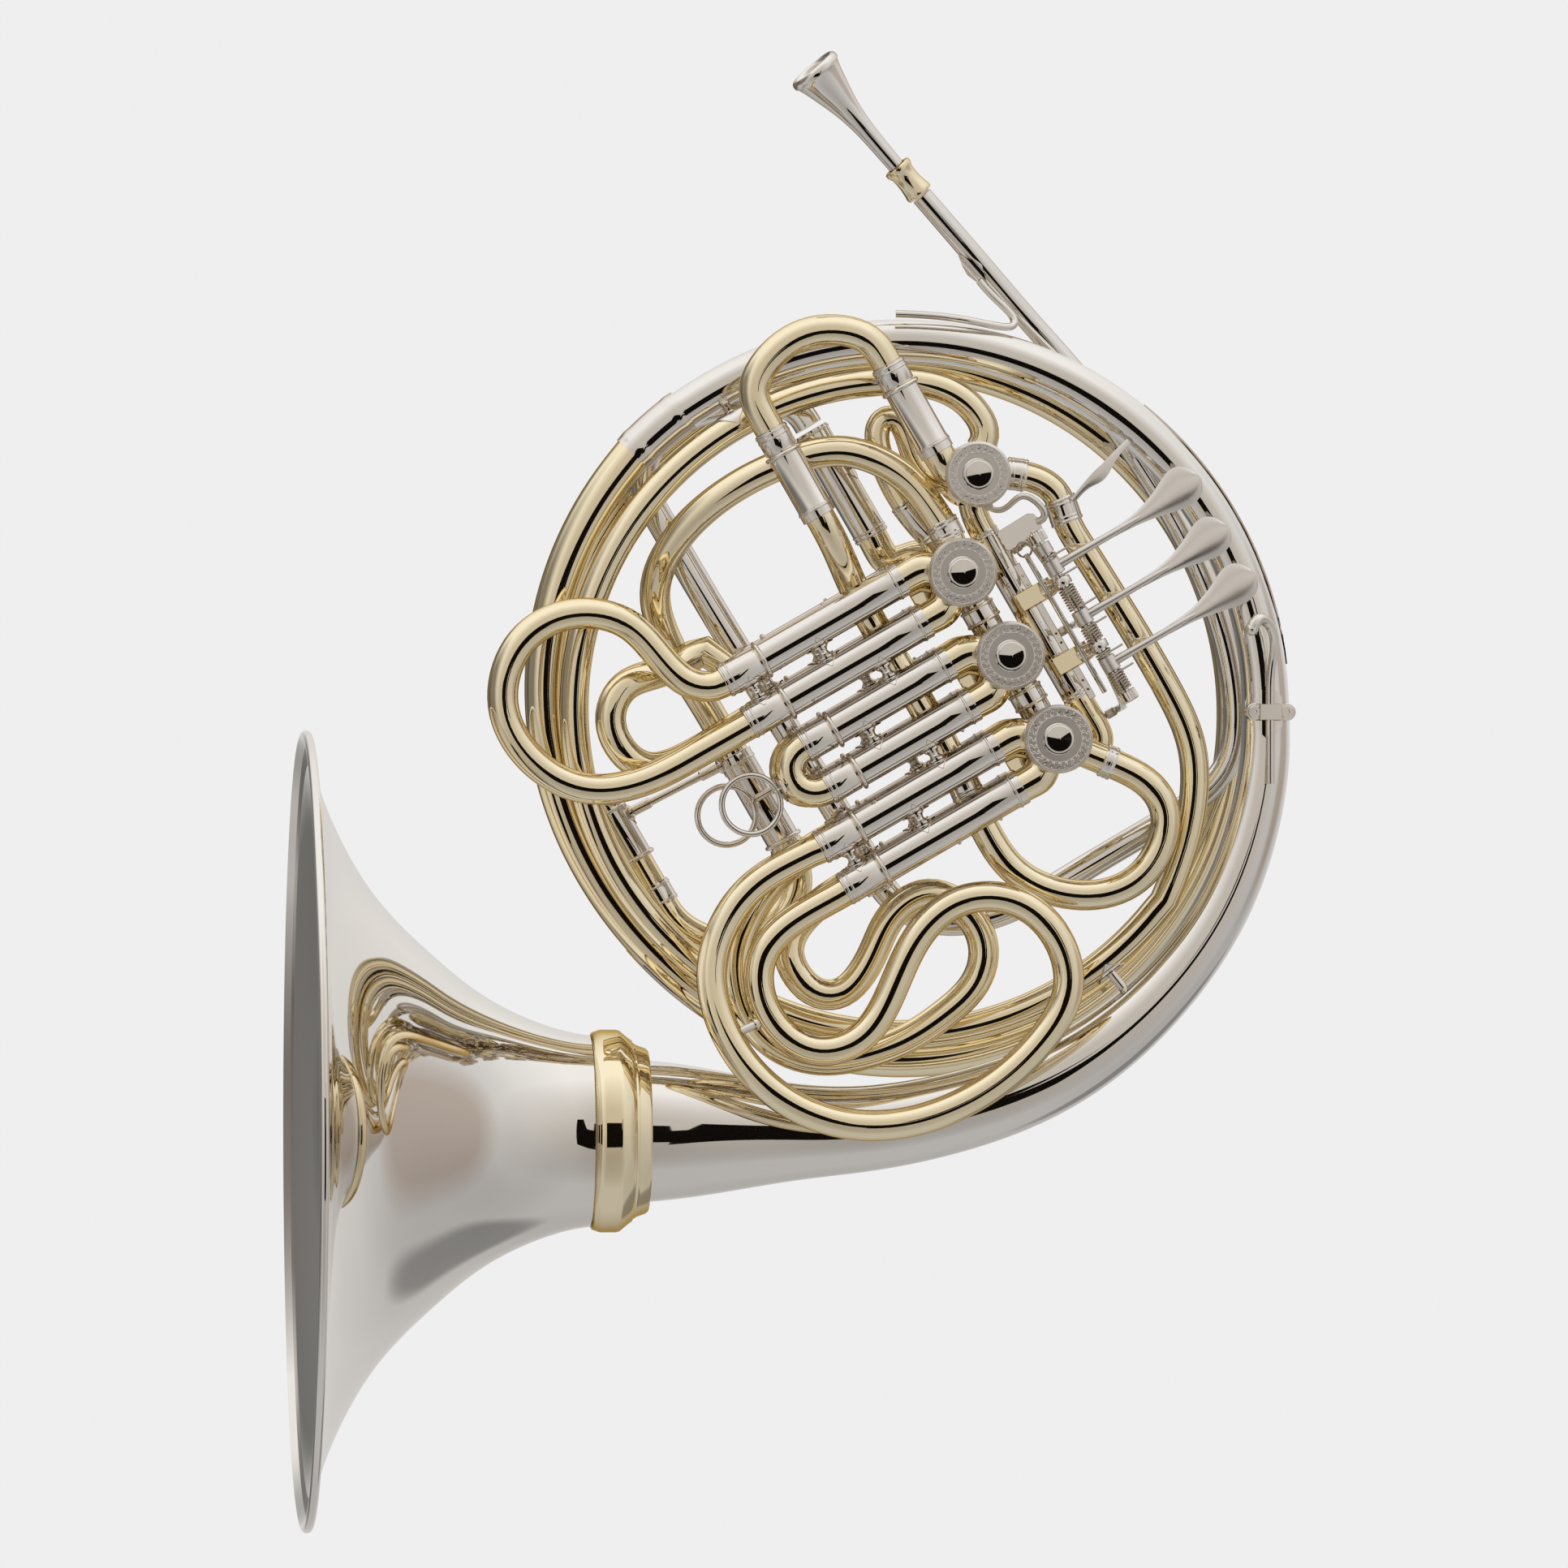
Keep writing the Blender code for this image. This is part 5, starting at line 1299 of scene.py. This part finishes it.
def guards():
    """The guard strips, the hand strip, and the small braces between the coils."""
    route = tail_route()
    guard("tail_guard", [Vector(spot[:3]) for spot in route], [spot[3] for spot in route], 5.0, 52.0, 24)
    coil = arc(
        (
            (205, 134.6, -17), (215, 133.4, -19), (230, 134.0, -22), (242, 135.0, -23.6),
            (252, 135.8, -24.6),
        ),
        1.2,
    )
    guard("coil_guard", coil, [7.5] * len(coil), 221.0, 239.0, 26)

    ends = (
        (66.8, 80.6, 4.4), (71.0, 86.0, 5.2), (75.2, 89.0, 5.4), (79.0, 92.0, 5.0), (83.5, 99.2, 3.4),
        (88.9, 103.8, 1.2),
    )
    line = spline(ends, 1.0)
    last = len(line) - 1
    wide = [(*spot, 1.1 + 1.4 * math.sin(math.pi * k / last) ** 2) for k, spot in enumerate(line)]
    piece("hand_strip", Shape().ribbon(wide), "satin_nickel")

    ties = Shape()
    for degrees, inner_w, outer_radius, outer_w in ((120.0, -2.0, 136.2, -8.0), (308.6, -5.0, 141.5, -2.5)):
        turn = math.radians(degrees)
        out = Vector((math.cos(turn), math.sin(turn), 0))
        along = Vector((-math.sin(turn), math.cos(turn), 0))
        near = out * F_COIL_ROUND + UP * inner_w
        far = out * outer_radius + UP * outer_w
        ties.saddle(near, along, out + UP * 0.5, 5.8, 6.5, 58)
        ties.rod(1.9, near + out * 4.5 + UP * 3.2, far, 16)
    near = Vector((-69.2, -127.4, 28.0))
    far = Vector((-57.4, -121.8, 25.0))
    ties.rod(1.7, near, far, 16)
    for spot, way in ((near, 1), (far, -1)):
        ties.rod(2.6, spot, spot + (far - near).normalized() * 2.2 * way, 16)
    piece("coil_braces", ties, "nickel_silver")


# ---------------------------------------------------------------- studio

def camera():
    """A long lens in front of the horn, a little below its middle, with the bell at the left."""
    tilt = math.radians(4.6)
    away = Vector((0, -math.cos(tilt), -math.sin(tilt)))
    target = Vector((-0.0026, 0, 0.1878))
    distance = 5.5
    lens = bpy.data.cameras.new("camera")
    lens.lens = 325.0
    lens.clip_end = 50
    made = bpy.data.objects.new("camera", lens)
    bpy.context.scene.collection.objects.link(made)
    up = Vector((-1, 0, 0))
    turn = Matrix((up.cross(away), up, away)).transposed()
    made.matrix_world = Matrix.Translation(target + away * distance) @ turn.to_4x4()
    bpy.context.scene.camera = made


def surroundings():
    """Pale all round to the camera; to the metal a soft white room, warmer and dimmer at its ends."""
    world = bpy.data.worlds.new("studio")
    bpy.context.scene.world = world
    world.use_nodes = True
    nodes = world.node_tree.nodes
    link = world.node_tree.links.new
    nodes.clear()
    place = nodes.new("ShaderNodeTexCoord")
    axes = nodes.new("ShaderNodeSeparateXYZ")
    link(place.outputs["Generated"], axes.inputs["Vector"])

    def ramp(axis, stops):
        """A tone for each place from one end of an axis, at 0, to its other end, at 1."""
        half = nodes.new("ShaderNodeMath")
        half.operation = "MULTIPLY_ADD"
        half.inputs[1].default_value = 0.5
        half.inputs[2].default_value = 0.5
        link(axes.outputs[axis], half.inputs[0])
        tones = nodes.new("ShaderNodeValToRGB")
        for k, (spot, tone) in enumerate(stops):
            stop = tones.color_ramp.elements[k] if k < 2 else tones.color_ramp.elements.new(spot)
            stop.position = spot
            stop.color = (*tone, 1)
        link(half.outputs["Value"], tones.inputs["Fac"])
        return tones.outputs["Color"]

    def fade(value, start, end, most, least):
        """A level that falls smoothly from most to least as a value goes from start to end."""
        made = nodes.new("ShaderNodeMapRange")
        made.interpolation_type = "SMOOTHSTEP"
        made.inputs["From Min"].default_value = start
        made.inputs["From Max"].default_value = end
        made.inputs["To Min"].default_value = most
        made.inputs["To Max"].default_value = least
        link(value, made.inputs["Value"])
        return made.outputs["Result"]

    def scaled(colour, level):
        """A colour made dimmer by a level."""
        made = nodes.new("ShaderNodeVectorMath")
        made.operation = "SCALE"
        link(colour, made.inputs[0])
        link(level, made.inputs["Scale"])
        return made.outputs["Vector"]

    front_to_back = (
        (0.05, (0.60, 0.565, 0.52)), (1.0, (0.72, 0.705, 0.685)), (0.16, (0.78, 0.755, 0.73)),
        (0.32, (1.0, 0.995, 0.99)), (0.6, (1, 1, 1)), (0.84, (0.90, 0.89, 0.88)),
    )
    below_to_above = (
        (0.03, (0.24, 0.22, 0.20)), (0.985, (0.50, 0.44, 0.40)), (0.13, (0.95, 0.95, 0.95)),
        (0.22, (1, 1, 1)), (0.74, (1, 1, 1)), (0.88, (0.84, 0.84, 0.84)), (0.95, (0.70, 0.70, 0.70)),
    )
    both = nodes.new("ShaderNodeVectorMath")
    both.operation = "MULTIPLY"
    link(ramp("Y", front_to_back), both.inputs[0])
    link(ramp("Z", below_to_above), both.inputs[1])
    colour = scaled(both.outputs["Vector"], fade(axes.outputs["X"], -0.3, 0.8, 1.05, 0.55))
    dim_places = (((0, 0.77, -0.64), 0.78, 0.93, 0.25), ((0.62, 0.47, 0.63), 0.95, 0.985, 0.52))
    for toward, start, end, least in dim_places:
        closeness = nodes.new("ShaderNodeVectorMath")
        closeness.operation = "DOT_PRODUCT"
        closeness.inputs[1].default_value = toward
        link(place.outputs["Generated"], closeness.inputs[0])
        colour = scaled(colour, fade(closeness.outputs["Value"], start, end, 1.0, least))

    lit = nodes.new("ShaderNodeBackground")
    link(colour, lit.inputs["Color"])
    seen = nodes.new("ShaderNodeBackground")
    seen.inputs["Color"].default_value = (0.870, 0.862, 0.866, 1)
    path = nodes.new("ShaderNodeLightPath")
    choose = nodes.new("ShaderNodeMixShader")
    link(path.outputs["Is Camera Ray"], choose.inputs["Fac"])
    link(lit.outputs["Background"], choose.inputs[1])
    link(seen.outputs["Background"], choose.inputs[2])
    out = nodes.new("ShaderNodeOutputWorld")
    link(choose.outputs["Shader"], out.inputs["Surface"])


def sheet(name, spots, faces, material):
    """A flat thing of the studio's, which isn't part of the horn."""
    mesh = bpy.data.meshes.new(name)
    mesh.from_pydata(spots, [], faces)
    mesh.materials.append(material)
    made = bpy.data.objects.new(name, mesh)
    bpy.context.scene.collection.objects.link(made)
    made.visible_shadow = False
    return made


def card():
    """The black card before the horn: the camera doesn't see it, but it draws the tubes' dark stripes."""
    dark = bpy.data.materials.new("card")
    dark.use_nodes = True
    shader = dark.node_tree.nodes["Principled BSDF"]
    shader.inputs["Base Color"].default_value = (0.008, 0.006, 0.005, 1)
    shader.inputs["Roughness"].default_value = 1.0
    shader.inputs["Specular IOR Level"].default_value = 0.0
    distance = 1.2
    outline = (
        (-0.087, -0.09), (-0.087, 0.50), (0.09, 0.50), (0.05, 0.57), (-0.20, 0.64), (-0.20, 0.74),
        (0.45, 0.74), (0.60, 0.50), (0.50, 0.50), (0.50, -0.09),
    )
    corners = [(x, -distance, z) for x, z in outline]
    made = sheet("card", corners, [(0, 1, 2, 8, 9), (2, 3, 6, 7, 8), (3, 4, 5, 6)], dark)
    made.visible_camera = False
    made.visible_diffuse = False


def floor():
    """A pale floor that is clear from below."""
    pale = bpy.data.materials.new("floor")
    pale.use_nodes = True
    tree = pale.node_tree
    base = tree.nodes["Principled BSDF"]
    base.inputs["Base Color"].default_value = (0.90, 0.89, 0.89, 1)
    base.inputs["Roughness"].default_value = 0.9
    base.inputs["Specular IOR Level"].default_value = 0.1
    clear = tree.nodes.new("ShaderNodeBsdfTransparent")
    side = tree.nodes.new("ShaderNodeNewGeometry")
    both = tree.nodes.new("ShaderNodeMixShader")
    tree.links.new(side.outputs["Backfacing"], both.inputs["Fac"])
    tree.links.new(base.outputs["BSDF"], both.inputs[1])
    tree.links.new(clear.outputs["BSDF"], both.inputs[2])
    tree.links.new(both.outputs["Shader"], tree.nodes["Material Output"].inputs["Surface"])
    reach = 6.0
    drop = -0.0005
    corners = [(x * reach, y * reach, drop) for x, y in ((-1, -1), (1, -1), (1, 1), (-1, 1))]
    made = sheet("floor", corners, [(0, 1, 2, 3)], pale)
    made.visible_glossy = False


# ---------------------------------------------------------------- build

bell()
tail()
coils()
leadpipe()
mouthpiece()
valves()
valve_slides()
main_tuning()
rear_tuning()
links()
levers()
pinky_hook()
pull_rings()
guards()
camera()
surroundings()
card()
floor()
bpy.context.scene.view_settings.view_transform = "Standard"
